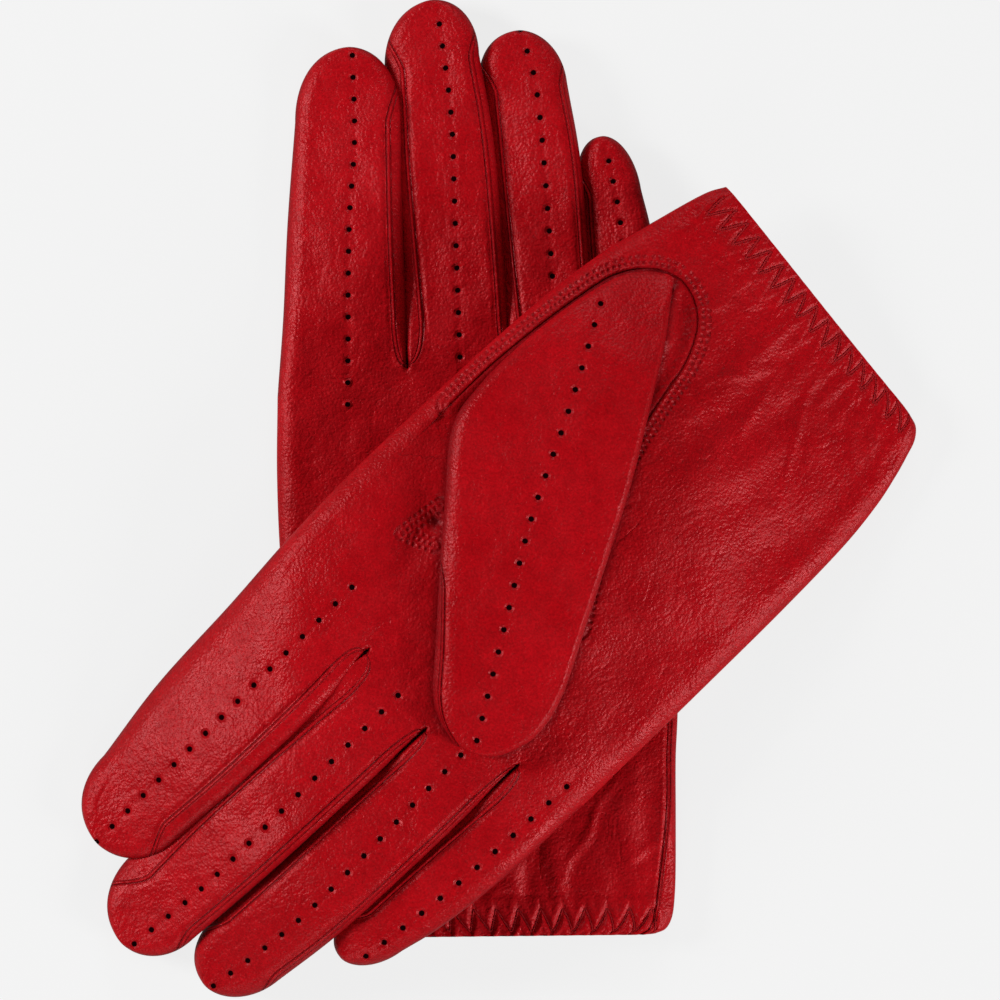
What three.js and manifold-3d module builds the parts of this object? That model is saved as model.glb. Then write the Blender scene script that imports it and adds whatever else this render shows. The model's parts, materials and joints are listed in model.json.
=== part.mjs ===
// A pair of unlined leather driving gloves, lying palm up with their thumbs folded across the palms.
// The left glove lies flat and the right glove is draped across it. Millimetres, +Z up, and Z = 0 is
// the surface that the pair lies on.
//
// One glove is made in its own hand frame: X points to the thumb side, Y from the cuff to the
// fingertips and Z out of the palm. The two gloves are mirror images, so both use the same pattern.
// Each leather panel is a thin hollow wall, and the fingers fold up off the palm at hinge lines.
import * as THREE from "three";
import { mergeVertices } from "three/addons/utils/BufferGeometryUtils.js";
import Module from "manifold-3d";

const wasm = await Module();
wasm.setup();

// ---- driving dimensions, in millimetres and degrees ----
const LEATHER = 1.0; // thickness of every leather panel
const SEAM_GAP = 0.3; // clearance between two pieces that are sewn together
const SLIVER = 0.1; // cubic millimetres
const CUT_TOLERANCE = 0.02; // edges shorter than this, left by a cut, are merged
const FOLD_GAP = 1.0; // clearance across a hinge line
const AXIS_RISE = 0.5; // a hinge axis stands this far above the leather that it folds
const HAND_THICK = 10; // a hand lying empty, both layers and the air between
const CUFF_THICK = 9.8;
const FINGER_THICK = 8.8;
const FINGER_LOW = 0.5; // the underside of a finger stands this far above the surface
const THUMB_THICK = 8;
const TIP_THIN = 0.4; // share of its thickness that a finger loses at the tip
const BASE_FLARE = 1.6; // how much wider a finger is below its crotch, where it joins the hand
const FLARE_LENGTH = 3;
const STUB_ROOT = 19; // how far a finger's tube runs down inside the hand
const FOURCHETTE_WIDTH = 4; // from the seam on the palm face to the finger's edge
const FOURCHETTE_END = 9; // a fourchette stops this far short of the fingertip
const GUSSET_ROOT = 6; // a crotch gusset reaches this far below the crotch

// The two long edges of the hand, from the cuff to the base of the fingers.
const PINKY_EDGE = [[-40, 1.5], [-45.5, 18], [-49.5, 50], [-51.3, 90], [-51.6, 128]];
const THUMB_EDGE = [[40, -3], [45.2, 13], [49.5, 48], [50, 88], [49, 138]];
const HAND_STATIONS = 10;
const CUFF_RISE = 0.3; // share of the hand's length over which it thickens from the cuff

// Fingers: middle of the base at the crotch, the tip, half widths at base and tip, and whether a
// neighbour lies on the pinky side (-1) or on the thumb side (+1).
const FINGERS = {
  index: { base: [31.9, 143], tip: [28.4, 230], half: [16.2, 13.2], sides: [-1] },
  middle: { base: [2.7, 146], tip: [2.8, 243], half: [11.8, 11.2], sides: [-1, 1] },
  ring: { base: [-21.2, 144], tip: [-19.9, 234], half: [11.2, 10.6], sides: [-1, 1] },
  pinky: { base: [-42.3, 137.5], tip: [-41.3, 203], half: [9.3, 8.4], sides: [1] },
};
const CROTCHES = [["index", "middle"], ["middle", "ring"], ["ring", "pinky"]];

// Thumb: it starts beside the cuff and lies across the palm. Along its line from THUMB_ROOT to
// THUMB_TIP, each station gives the distance and the two edges, towards the pinky and the fingers.
const THUMB_ROOT = [38, 32];
const THUMB_TIP = [-25.7, 139.5];
const THUMB_OUTLINE = [
  [0, -11, 2], [12, -13, 14], [27, -14.2, 25], [42, -14.6, 31.5], [58, -15, 30],
  [80, -14.8, 27], [100, -13.6, 24], [112, -11.4, 20.5], [120, -6.5, 15], [124.5, -0.5, 9],
];
const THUMB_FOLD = 66; // the thumb's outer half folds up from here
const THUMB_HOLE = { along: 38, across: 8.5, halfLength: 24, halfWidth: 12 };
const THUMB_WELT = [[45.6, 84], [46.4, 60], [44.8, 38], [38, 25], [28, 20.5], [18.5, 23.5], [11.5, 36]];
const QUIRK = [[26.4, 108.5], [31.5, 113.5], [27.2, 104.5]]; // small gusset at the thumb hole's upper end

const WELT_THICK = 1.2; // piped edge of the side seam
const WELT_HEIGHT = 2.4;

const ELASTIC = { width: 8, thick: 0.8, fromHem: 5, endGap: 6, slack: 0.3 };
const ZIGZAG = { turns: 15, width: 6.5, fromHem: 3, thread: 0.7, endGap: 7, rise: 0.8 };

// How the pair lies. The left glove is the mirrored one.
const LEFT = { at: [4.1, -112.3], turn: 4 };
const RIGHT = { at: [81.6, 49.4], turn: 133 };
// Where each finger folds, measured from its crotch: the knuckle, or where it leaves the upper glove.
const LEFT_FOLDS = { index: 11, middle: 11, ring: 34, pinky: 47 };
const RIGHT_FOLDS = { index: 11, middle: 11, ring: 11, pinky: 11 };

// How the right glove drapes over the left one: it rises over the left hand, and again over the
// left thumb, and comes down to the surface on both sides.
const DRAPE = {
  hand: HAND_THICK + 1.2, fromX: [-104, -44], toX: [44, 104], hemY: [-150, -104],
  thumb: THUMB_THICK + 0.9, thumbRadius: [21, 76],
};

const leatherFace = new THREE.MeshStandardMaterial({ color: 0xa0121c, roughness: 0.5, metalness: 0 });
const leatherDark = new THREE.MeshStandardMaterial({ color: 0x8c0d16, roughness: 0.55, metalness: 0 });
const thread = new THREE.MeshStandardMaterial({ color: 0xa81a24, roughness: 0.7, metalness: 0 });
const elasticWeb = new THREE.MeshStandardMaterial({ color: 0x5c1016, roughness: 0.9, metalness: 0 });

// ---- small helpers ----
const vec = ([x, y]) => new THREE.Vector2(x, y);
const smooth = (from, to, v) => THREE.MathUtils.smoothstep(v, from, to);

// The geometry of a tube through closed rings of points, with both ends capped.
function loft(rings) {
  const n = rings[0].length;
  const points = rings.flat();
  const faces = [];
  for (let i = 0; i + 1 < rings.length; i++) {
    for (let j = 0; j < n; j++) {
      const [a, b] = [i * n + j, i * n + ((j + 1) % n)];
      faces.push(a, b, a + n, b, b + n, a + n);
    }
  }
  for (const [ring, start, flip] of [[rings[0], 0, true], [rings.at(-1), points.length - n, false]]) {
    const middle = points.push(ring.reduce((s, p) => s.add(p), new THREE.Vector3()).divideScalar(n)) - 1;
    for (let j = 0; j < n; j++) {
      const [a, b] = [start + j, start + ((j + 1) % n)];
      faces.push(...(flip ? [b, a, middle] : [a, b, middle]));
    }
  }
  return new THREE.BufferGeometry().setFromPoints(points).setIndex(faces);
}

// A closed geometry as a solid that can be joined and cut.
function solid(geometry) {
  const bare = geometry.clone();
  bare.deleteAttribute("normal");
  bare.deleteAttribute("uv");
  const merged = mergeVertices(bare, 1e-4);
  const vertProperties = new Float32Array(merged.attributes.position.array);
  const triVerts = new Uint32Array(merged.index.array);
  const made = new wasm.Manifold(new wasm.Mesh({ numProp: 3, vertProperties, triVerts }));
  if (made.volume() > 0) return made;
  return new wasm.Manifold(new wasm.Mesh({ numProp: 3, vertProperties, triVerts: triVerts.reverse() }));
}

// A solid without the slivers, smaller than a pinhead, that a cut leaves along a seam.
function withoutSlivers(body) {
  const parts = body.simplify(CUT_TOLERANCE).decompose();
  const whole = parts.reduce((a, b) => (b.volume() > a.volume() ? b : a));
  return parts.some((p) => p !== whole && Math.abs(p.volume()) > SLIVER) ? body : whole;
}

// A solid as a named mesh.
function piece(name, body, material) {
  const { vertProperties, triVerts, numProp } = withoutSlivers(body).getMesh();
  const positions = new Float32Array((vertProperties.length / numProp) * 3);
  for (let i = 0; i * numProp < vertProperties.length; i++) {
    positions.set(vertProperties.subarray(i * numProp, i * numProp + 3), i * 3);
  }
  const geometry = new THREE.BufferGeometry()
    .setAttribute("position", new THREE.BufferAttribute(positions, 3))
    .setIndex(new THREE.BufferAttribute(triVerts, 1));
  geometry.computeVertexNormals();
  const mesh = new THREE.Mesh(geometry, material);
  mesh.name = name;
  return mesh;
}

// Cross-section of a tube lying on its flat side, across from left to right (2D points) with round
// edges: points on the bottom, round the right edge, along the top and round the left edge.
function tubeRing(left, right, low, thick, across, lift) {
  const middle = left.clone().add(right).multiplyScalar(0.5);
  const half = left.distanceTo(right) / 2;
  const unit = right.clone().sub(left).normalize();
  const round = Math.min(thick / 2, half * 0.9);
  const flat = half - round;
  const profile = [];
  for (let i = 0; i <= across; i++) profile.push([flat * ((2 * i) / across - 1), 0]);
  for (const a of [-45, 0, 45]) profile.push([flat + round * cosd(a), (thick / 2) * (1 + sind(a))]);
  for (let i = across; i >= 0; i--) profile.push([flat * ((2 * i) / across - 1), thick]);
  for (const a of [45, 0, -45]) profile.push([-flat - round * cosd(a), (thick / 2) * (1 + sind(a))]);
  return profile.map(([t, z]) => {
    const at = middle.clone().addScaledVector(unit, t);
    return new THREE.Vector3(at.x, at.y, low + z + lift(at.x, at.y));
  });
}

function cosd(a) {
  return Math.cos(THREE.MathUtils.degToRad(a));
}

function sind(a) {
  return Math.sin(THREE.MathUtils.degToRad(a));
}

// ---- the hand ----
// The hand's two edge points at each station from the cuff to the fingers.
function handEdges() {
  return [PINKY_EDGE, THUMB_EDGE].map((edge) => new THREE.SplineCurve(edge.map(vec)).getSpacedPoints(HAND_STATIONS - 1));
}

// The hand's tube of leather, shrunk by inset on every side; grow lengthens it past the cuff.
function handTube(inset, grow, lift) {
  const [pinkySide, thumbSide] = handEdges();
  const rings = [];
  for (let i = 0; i < HAND_STATIONS; i++) {
    const u = i / (HAND_STATIONS - 1);
    const [a, b] = [pinkySide[i], thumbSide[i]];
    const unit = b.clone().sub(a).normalize();
    const forward = new THREE.Vector2(-unit.y, unit.x);
    const shift = i === 0 ? -grow : i === HAND_STATIONS - 1 ? -inset : 0;
    a.addScaledVector(unit, inset).addScaledVector(forward, shift);
    b.addScaledVector(unit, -inset).addScaledVector(forward, shift);
    const thick = THREE.MathUtils.lerp(CUFF_THICK, HAND_THICK, smooth(0, CUFF_RISE, u));
    rings.push(tubeRing(a, b, inset, thick - 2 * inset, 8, lift));
  }
  return solid(loft(rings));
}

// ---- the fingers ----
// A finger's line and its half width at a distance along it from the crotch.
function fingerLine({ base, tip, half }) {
  const start = vec(base);
  const along = vec(tip).sub(start);
  const length = along.length();
  along.normalize();
  const across = new THREE.Vector2(along.y, -along.x); // towards the thumb side
  const round = half[1] * 1.15; // length of the rounded tip
  const widthAt = (s) => THREE.MathUtils.lerp(half[0], half[1], THREE.MathUtils.clamp(s / (length - round), 0, 1));
  const flareAt = (s) => BASE_FLARE * THREE.MathUtils.clamp(-s / FLARE_LENGTH, 0, 1);
  return { start, along, across, length, round, widthAt, flareAt };
}

// A finger's tube from one distance to another, or to its closed tip, shrunk by inset.
function fingerTube(finger, from, to, inset, lift) {
  const line = fingerLine(finger);
  const tip = line.length - line.round;
  const stops = [-STUB_ROOT, -FLARE_LENGTH, 0, 25, 50].filter((s) => s > from + 2 && s < Math.min(to, tip) - 2);
  const stations = [from, ...stops].map((s) => [s, line.widthAt(s) - inset, 0]);
  if (to < tip) {
    stations.push([to, line.widthAt(to) - inset, 0]);
  } else {
    for (const a of [0, 35, 60, 80]) {
      stations.push([tip + (line.round - inset) * sind(a), (line.widthAt(tip) - inset) * cosd(a), sind(a)]);
    }
  }
  return solid(loft(stations.map(([s, half, thin]) => {
    const middle = line.start.clone().addScaledVector(line.along, s);
    const [left, right] = [-1, 1].map((side) => {
      const flare = finger.sides.includes(side) ? line.flareAt(s) : 0;
      return middle.clone().addScaledVector(line.across, side * (half + flare));
    });
    const thick = FINGER_THICK * (1 - TIP_THIN * thin * thin) - 2 * inset;
    return tubeRing(left, right, FINGER_LOW + inset, thick, 2, lift);
  })));
}

// The block that a fourchette is cut with: the strip of a finger outside its seam, on one side.
function sideBlock(finger, side, from, to, grow, lift) {
  const line = fingerLine(finger);
  const end = Math.min(to, line.length - FOURCHETTE_END);
  const steps = Math.max(1, Math.ceil((end - from) / 15));
  const top = FINGER_THICK + 2;
  const rings = [];
  for (let i = 0; i <= steps; i++) {
    const s = THREE.MathUtils.lerp(from, end, i / steps) + (i === steps ? grow : i === 0 ? -grow : 0);
    const narrow = 1 - 0.6 * smooth(line.length - 3 * FOURCHETTE_END, line.length - FOURCHETTE_END, s);
    const edge = line.widthAt(s);
    const near = edge - FOURCHETTE_WIDTH * narrow - grow;
    const far = edge + BASE_FLARE + grow;
    const middle = line.start.clone().addScaledVector(line.along, s);
    rings.push([[near, -grow - 2], [far, -grow - 2], [far, top + grow], [near, top + grow]].map(([t, z]) => {
      const at = middle.clone().addScaledVector(line.across, side * t);
      return new THREE.Vector3(at.x, at.y, z + lift(at.x, at.y));
    }));
  }
  return solid(loft(rings));
}

// The line that a finger or thumb folds about: a point on it and its direction, in the hand frame.
function foldLine(start, along, across, s, halfWidth, top, lift) {
  const middle = start.clone().addScaledVector(along, s);
  const ends = [-halfWidth, halfWidth].map((t) => {
    const at = middle.clone().addScaledVector(across, t);
    return new THREE.Vector3(at.x, at.y, top + lift(at.x, at.y));
  });
  const centre = ends[0].clone().add(ends[1]).multiplyScalar(0.5);
  centre.z = Math.max(centre.z, top + lift(middle.x, middle.y));
  return { point: centre, direction: ends[0].sub(ends[1]).normalize() };
}

// ---- the thumb ----
function thumbLine() {
  const start = vec(THUMB_ROOT);
  const along = vec(THUMB_TIP).sub(start).normalize();
  return { start, along, across: new THREE.Vector2(along.y, -along.x) };
}

// The thumb's two edges at a distance along its line.
function thumbEdges(s) {
  const next = Math.max(1, THUMB_OUTLINE.findIndex(([at]) => at >= s));
  const [a, b] = [THUMB_OUTLINE[next - 1], THUMB_OUTLINE[next]];
  const u = (s - a[0]) / (b[0] - a[0]);
  return [THREE.MathUtils.lerp(a[1], b[1], u), THREE.MathUtils.lerp(a[2], b[2], u)];
}

// The thumb's tube between two distances along its line, lying on the palm.
function thumbTube(from, to, inset, openStart, openEnd, lift) {
  const { start, along, across } = thumbLine();
  const last = THUMB_OUTLINE.at(-1)[0];
  const inner = THUMB_OUTLINE.map(([s]) => s).filter((s) => s > from + 1 && s < to - 1);
  const low = HAND_THICK + SEAM_GAP;
  return solid(loft([from, ...inner, to].map((s) => {
    const [left, right] = thumbEdges(THREE.MathUtils.clamp(s, 0, last));
    const atStart = s === from;
    const push = atStart ? (openStart ? -2 : inset) : s === to ? (openEnd ? 2 : -inset) : 0;
    const middle = start.clone().addScaledVector(along, s + push * Math.sign(inset));
    const thin = 1 - 0.4 * smooth(last - 14, last, s) - 0.25 * (1 - smooth(0, 14, s));
    return tubeRing(
      middle.clone().addScaledVector(across, left + inset), middle.clone().addScaledVector(across, right - inset),
      low + inset, THUMB_THICK * thin - 2 * inset, 3, lift,
    );
  })));
}

// The oval way from the hand into the thumb, cut through the palm and the thumb's underside.
function thumbHole(lift) {
  const { start, along, across } = thumbLine();
  const middle = start.clone().addScaledVector(along, THUMB_HOLE.along).addScaledVector(across, THUMB_HOLE.across);
  const ring = (z) => Array.from({ length: 16 }, (_, i) => {
    const a = (i / 16) * 360;
    const at = middle.clone().addScaledVector(along, THUMB_HOLE.halfLength * cosd(a))
      .addScaledVector(across, THUMB_HOLE.halfWidth * sind(a));
    return new THREE.Vector3(at.x, at.y, z + lift(at.x, at.y));
  });
  return solid(loft([ring(HAND_THICK - 4), ring(HAND_THICK + SEAM_GAP + 4)]));
}

// ---- cords, strips and threads ----
// A strip of rectangular section that follows a 2D path at a height above the surface.
function strip(path, steps, width, thick, low, lift) {
  const curve = steps ? new THREE.SplineCurve(path.map(vec)) : null;
  const points = steps ? Array.from({ length: steps + 1 }, (_, i) => curve.getPoint(i / steps)) : path.map(vec);
  return solid(loft(points.map((p, i) => {
    const before = points[Math.max(0, i - 1)];
    const after = points[Math.min(points.length - 1, i + 1)];
    const along = after.clone().sub(before).normalize();
    const across = new THREE.Vector2(along.y, -along.x);
    return [[-1, 0], [1, 0], [1, 1], [-1, 1]].map(([t, z]) => {
      const at = p.clone().addScaledVector(across, (t * width) / 2);
      return new THREE.Vector3(at.x, at.y, low + z * thick + lift(at.x, at.y));
    });
  })));
}

// The line across the palm at a distance from the hem, short of both edges by endGap.
function cuffLine(fromHem, endGap) {
  const [a, b] = [vec(PINKY_EDGE[0]), vec(THUMB_EDGE[0])];
  const unit = b.clone().sub(a).normalize();
  const forward = new THREE.Vector2(-unit.y, unit.x);
  a.addScaledVector(unit, endGap).addScaledVector(forward, fromHem);
  b.addScaledVector(unit, -endGap).addScaledVector(forward, fromHem);
  return { a, b, forward };
}

// ---- one glove ----
// All of a glove's pieces in its hand frame, and the lines that its fingers and thumb fold about.
function glove(side, folds, lift) {
  const group = new THREE.Group();
  const add = (name, body, material) => group.add(piece(`${side}_${name}`, body, material));
  const foldLines = {};

  let outer = handTube(0, 0, lift);
  let inner = handTube(LEATHER, 2, lift);
  for (const [name, finger] of Object.entries(FINGERS)) {
    outer = outer.add(fingerTube(finger, -STUB_ROOT, folds[name], 0, lift));
    inner = inner.add(fingerTube(finger, -STUB_ROOT, folds[name] + 1, LEATHER, lift));
  }
  let hand = outer.subtract(inner).subtract(thumbHole(lift));
  const shell = hand;
  for (const [first, second] of CROTCHES) {
    const block = (grow) => sideBlock(FINGERS[first], -1, -GUSSET_ROOT, folds[first] + 1, grow, lift)
      .add(sideBlock(FINGERS[second], 1, -GUSSET_ROOT, folds[second] + 1, grow, lift));
    add(`crotch_gusset_${first}_${second}`, shell.intersect(block(0)), leatherDark);
    hand = hand.subtract(block(SEAM_GAP));
  }
  add("hand_trank", hand, leatherFace);

  for (const [name, finger] of Object.entries(FINGERS)) {
    const from = folds[name] + FOLD_GAP;
    const wall = fingerTube(finger, from, Infinity, 0, lift)
      .subtract(fingerTube(finger, from - 2, Infinity, LEATHER, lift));
    let sleeve = wall;
    for (const s of finger.sides) {
      const where = s < 0 ? "outer" : "inner";
      add(`${name}_fourchette_${where}`, wall.intersect(sideBlock(finger, s, from - 1, Infinity, 0, lift)), leatherDark);
      sleeve = sleeve.subtract(sideBlock(finger, s, from - 1, Infinity, SEAM_GAP, lift));
    }
    add(`${name}_sleeve`, sleeve, leatherFace);
    const line = fingerLine(finger);
    foldLines[name] = foldLine(line.start, line.along, line.across, folds[name] + FOLD_GAP / 2,
      line.widthAt(folds[name]), FINGER_LOW + FINGER_THICK + AXIS_RISE, lift);
  }

  const thumb = thumbLine();
  const lastStation = THUMB_OUTLINE.at(-1)[0];
  const thumbRoot = thumbTube(0, THUMB_FOLD, 0, false, false, lift)
    .subtract(thumbTube(0, THUMB_FOLD, LEATHER, false, true, lift)).subtract(thumbHole(lift));
  const tipFrom = THUMB_FOLD + FOLD_GAP;
  const thumbOuter = thumbTube(tipFrom, lastStation, 0, false, false, lift)
    .subtract(thumbTube(tipFrom, lastStation, LEATHER, true, false, lift));
  add("thumb_root", thumbRoot, leatherFace);
  add("thumb_tip", thumbOuter, leatherFace);
  foldLines.thumb = foldLine(thumb.start, thumb.along, thumb.across, THUMB_FOLD + FOLD_GAP / 2,
    15, HAND_THICK + SEAM_GAP + THUMB_THICK + AXIS_RISE, lift);

  add("thumb_welt", strip(THUMB_WELT, 14, WELT_THICK, 1, HAND_THICK + SEAM_GAP, lift), leatherDark);
  const corners = QUIRK.map(vec);
  const quirkRing = (z) => corners.map((p) => new THREE.Vector3(p.x, p.y, z + lift(p.x, p.y)));
  add("thumb_quirk", solid(loft([quirkRing(HAND_THICK + SEAM_GAP), quirkRing(HAND_THICK + SEAM_GAP + LEATHER)])), leatherDark);

  const outward = WELT_THICK / 2 + 2 * SEAM_GAP;
  const seamPath = handEdges()[0].slice(0, -2).map((p) => [p.x - outward, p.y]);
  add("side_seam_welt", strip(seamPath, 0, WELT_THICK, WELT_HEIGHT, (CUFF_THICK - WELT_HEIGHT) / 2, lift), leatherDark);

  const band = cuffLine(ELASTIC.fromHem, ELASTIC.endGap);
  const bandLine = Array.from({ length: 9 }, (_, i) => band.a.clone().lerp(band.b, i / 8).toArray());
  const bandLow = CUFF_THICK - LEATHER - SEAM_GAP - ELASTIC.thick - ELASTIC.slack;
  add("cuff_elastic", strip(bandLine, 0, ELASTIC.width, ELASTIC.thick, bandLow, lift), elasticWeb);
  const stitch = cuffLine(ZIGZAG.fromHem, ZIGZAG.endGap);
  const zigzag = Array.from({ length: 2 * ZIGZAG.turns + 1 }, (_, i) => stitch.a.clone()
    .lerp(stitch.b, i / (2 * ZIGZAG.turns)).addScaledVector(stitch.forward, i % 2 ? ZIGZAG.width : 0).toArray());
  add("cuff_zigzag_thread", strip(zigzag, 0, ZIGZAG.thread, ZIGZAG.thread, CUFF_THICK + ZIGZAG.rise, lift), thread);

  group.userData.foldLines = foldLines;
  return group;
}

// Turns and moves a glove to where it lies.
function lay(group, { at, turn }, mirrored) {
  group.scale.x = mirrored ? -1 : 1;
  group.rotation.z = THREE.MathUtils.degToRad(turn);
  group.position.set(at[0], at[1], 0);
  group.updateMatrixWorld(true);
  return group;
}

// How high the right glove's underside lies at a point of its hand frame, over the left glove.
function drape() {
  const right = lay(new THREE.Group(), RIGHT, false).matrixWorld;
  const left = lay(new THREE.Group(), LEFT, true).matrixWorld;
  const { start, along, across } = thumbLine();
  const ends = [12, 100].map((s) => {
    const p = start.clone().addScaledVector(along, s).addScaledVector(across, 7);
    return new THREE.Vector3(p.x, p.y, 0).applyMatrix4(left);
  });
  const thumb = new THREE.Line3(...ends);
  return (x, y) => {
    const at = new THREE.Vector3(x, y, 0).applyMatrix4(right);
    const near = thumb.closestPointToPoint(at, true, new THREE.Vector3()).distanceTo(at);
    const onHand = smooth(...DRAPE.fromX, at.x) * (1 - smooth(...DRAPE.toX, at.x)) * smooth(...DRAPE.hemY, at.y);
    return DRAPE.hand * onHand + DRAPE.thumb * (1 - smooth(...DRAPE.thumbRadius, near));
  };
}

// The pair, with the origin at the bottom centre of its bounding box.
const gloves = [
  lay(glove("left", LEFT_FOLDS, () => 0), LEFT, true),
  lay(glove("right", RIGHT_FOLDS, drape()), RIGHT, false),
];
const pair = new THREE.Group();
pair.add(...gloves);
const centre = new THREE.Box3().setFromObject(pair, true).getCenter(new THREE.Vector3());
for (const one of gloves) one.position.sub(new THREE.Vector3(centre.x, centre.y, 0));

export default pair;
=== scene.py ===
"""The looks of a pair of red leather driving gloves that lie crossed, palm up, on a pale surface.

A glove is drawn in its own hand frame, in millimetres: x to the thumb side, y from the hem to the
fingertips and z out of the palm. Both gloves use one pattern, and the left one is its mirror image.
"""

import json
import logging
import math
from dataclasses import dataclass
from enum import Enum

import bpy
import numpy as np
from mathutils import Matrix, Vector


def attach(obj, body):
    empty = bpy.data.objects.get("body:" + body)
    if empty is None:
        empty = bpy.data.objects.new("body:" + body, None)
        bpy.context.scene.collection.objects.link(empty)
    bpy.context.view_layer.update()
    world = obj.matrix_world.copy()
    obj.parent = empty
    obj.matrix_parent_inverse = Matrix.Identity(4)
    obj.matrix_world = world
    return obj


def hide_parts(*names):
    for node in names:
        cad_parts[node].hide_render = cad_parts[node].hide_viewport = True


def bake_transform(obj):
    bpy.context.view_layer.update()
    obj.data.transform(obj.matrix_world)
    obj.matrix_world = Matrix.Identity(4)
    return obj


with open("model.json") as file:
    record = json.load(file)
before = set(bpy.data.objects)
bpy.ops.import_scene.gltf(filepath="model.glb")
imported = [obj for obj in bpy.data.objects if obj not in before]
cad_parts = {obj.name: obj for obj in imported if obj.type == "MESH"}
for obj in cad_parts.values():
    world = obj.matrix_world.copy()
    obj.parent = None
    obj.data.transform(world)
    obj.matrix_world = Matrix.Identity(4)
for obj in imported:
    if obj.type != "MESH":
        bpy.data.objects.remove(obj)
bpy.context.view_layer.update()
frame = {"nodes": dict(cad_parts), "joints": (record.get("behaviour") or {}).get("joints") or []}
LOG = logging.getLogger("gloves")
MM = 0.001


# ---- small mathematics ----
def smooth(low: float, high: float, v: np.ndarray) -> np.ndarray:
    """A soft step from 0 at low to 1 at high.

    Args:
        low: Where the step starts.
        high: Where it ends.
        v: The values to look up.

    Returns:
        The step at each value.
    """
    t = np.clip((v - low) / (high - low), 0, 1)
    return t * t * (3 - 2 * t)


def bell(v: np.ndarray, width: float) -> np.ndarray:
    """A bell curve of height 1 and the given half width."""
    return np.exp(-((v / width) ** 2))


def rounding(distance: np.ndarray, radius: float) -> np.ndarray:
    """The height, as a share, of a rounded edge at a distance in from it."""
    inside = 1 - np.clip(distance / radius, 0, 1)
    return np.sqrt(np.clip(1 - inside * inside, 0, 1))


def through(points: list[tuple[float, float]], share: np.ndarray) -> np.ndarray:
    """A smooth line through points.

    Args:
        points: Two or more 2D points.
        share: Shares of the line's length, from 0 to 1.

    Returns:
        The 2D points at those shares.
    """
    p = np.array(points, float)
    ends = np.vstack([2 * p[0] - p[1], p, 2 * p[-1] - p[-2]])
    u = np.linspace(0, 1, 24, endpoint=False)[:, None]
    dense = []
    for a, b, c, d in zip(ends, ends[1:], ends[2:], ends[3:]):
        dense.append(b + 0.5 * u * (c - a + u * (2 * a - 5 * b + 4 * c - d + u * (3 * (b - c) + d - a))))
    dense = np.vstack([*dense, p[-1:]])
    run = np.concatenate([[0], np.cumsum(np.linalg.norm(np.diff(dense, axis=0), axis=1))])
    at = np.asarray(share) * run[-1]
    return np.stack([np.interp(at, run, dense[:, 0]), np.interp(at, run, dense[:, 1])], -1)


def waves(x: np.ndarray, y: np.ndarray, size: float, seed: int, stretch: float = 1.0) -> np.ndarray:
    """A smooth random field, about -1 to 1.

    Args:
        x: First coordinate, in millimetres.
        y: Second coordinate.
        size: Length of one wave.
        seed: Which field.
        stretch: How much longer the waves are along y.

    Returns:
        The field at each point.
    """
    dice = np.random.RandomState(seed)
    total = np.zeros(np.broadcast(x, y).shape)
    for _ in range(9):
        angle, phase = dice.uniform(0, 2 * math.pi, 2)
        pace = 2 * math.pi / (size * dice.uniform(0.7, 1.5))
        total += np.sin(pace * (x * math.cos(angle) + y * math.sin(angle) / stretch) + phase)
    return total / 3.6


def creases(x: np.ndarray, y: np.ndarray, size: float, seed: int, stretch: float = 1.0) -> np.ndarray:
    """Thin winding creases, 1 on a crease and near 0 away from it."""
    bend = 0.35 * size
    wind_x, wind_y = waves(x, y, size, seed + 50), waves(x, y, size, seed + 51)
    winding = waves(x + bend * wind_x, y + bend * wind_y, size, seed, stretch)
    return (1 - np.clip(np.abs(winding), 0, 1)) ** 6


def distance_along(path: np.ndarray, x: np.ndarray, y: np.ndarray) -> tuple[np.ndarray, np.ndarray]:
    """Where points lie beside a line.

    Args:
        path: The line's points, one by one.
        x: First coordinates of the points.
        y: Second coordinates.

    Returns:
        The distance along the line of the nearest place on it, and the signed distance from it.
    """
    best = np.full(x.shape, 1e9)
    run = np.zeros(x.shape)
    side = np.ones(x.shape)
    start = 0.0
    for a, b in zip(path, path[1:]):
        step = b - a
        length = float(np.hypot(*step))
        u = np.clip(((x - a[0]) * step[0] + (y - a[1]) * step[1]) / length**2, 0, 1)
        dx, dy = x - a[0] - u * step[0], y - a[1] - u * step[1]
        d = np.hypot(dx, dy)
        near = d < best
        best = np.where(near, d, best)
        run = np.where(near, start + u * length, run)
        side = np.where(near, np.sign(step[0] * dy - step[1] * dx), side)
        start += length
    return run, best * side


# ---- the pattern that both gloves are cut from ----
@dataclass(frozen=True)
class FingerPattern:
    """One finger: its two edges from the crotch, its tip and its row of punched holes."""

    name: str
    left: list[tuple[float, float]]
    right: list[tuple[float, float]]
    tip: tuple[float, float]
    row: list[tuple[float, float]]
    holes: int
    seams: tuple[tuple[int, float], ...]  # the side of each strip's seam, and how far it is from the edge
    bend: tuple[float, float]  # where its fold starts and ends, from the crotch


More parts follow.
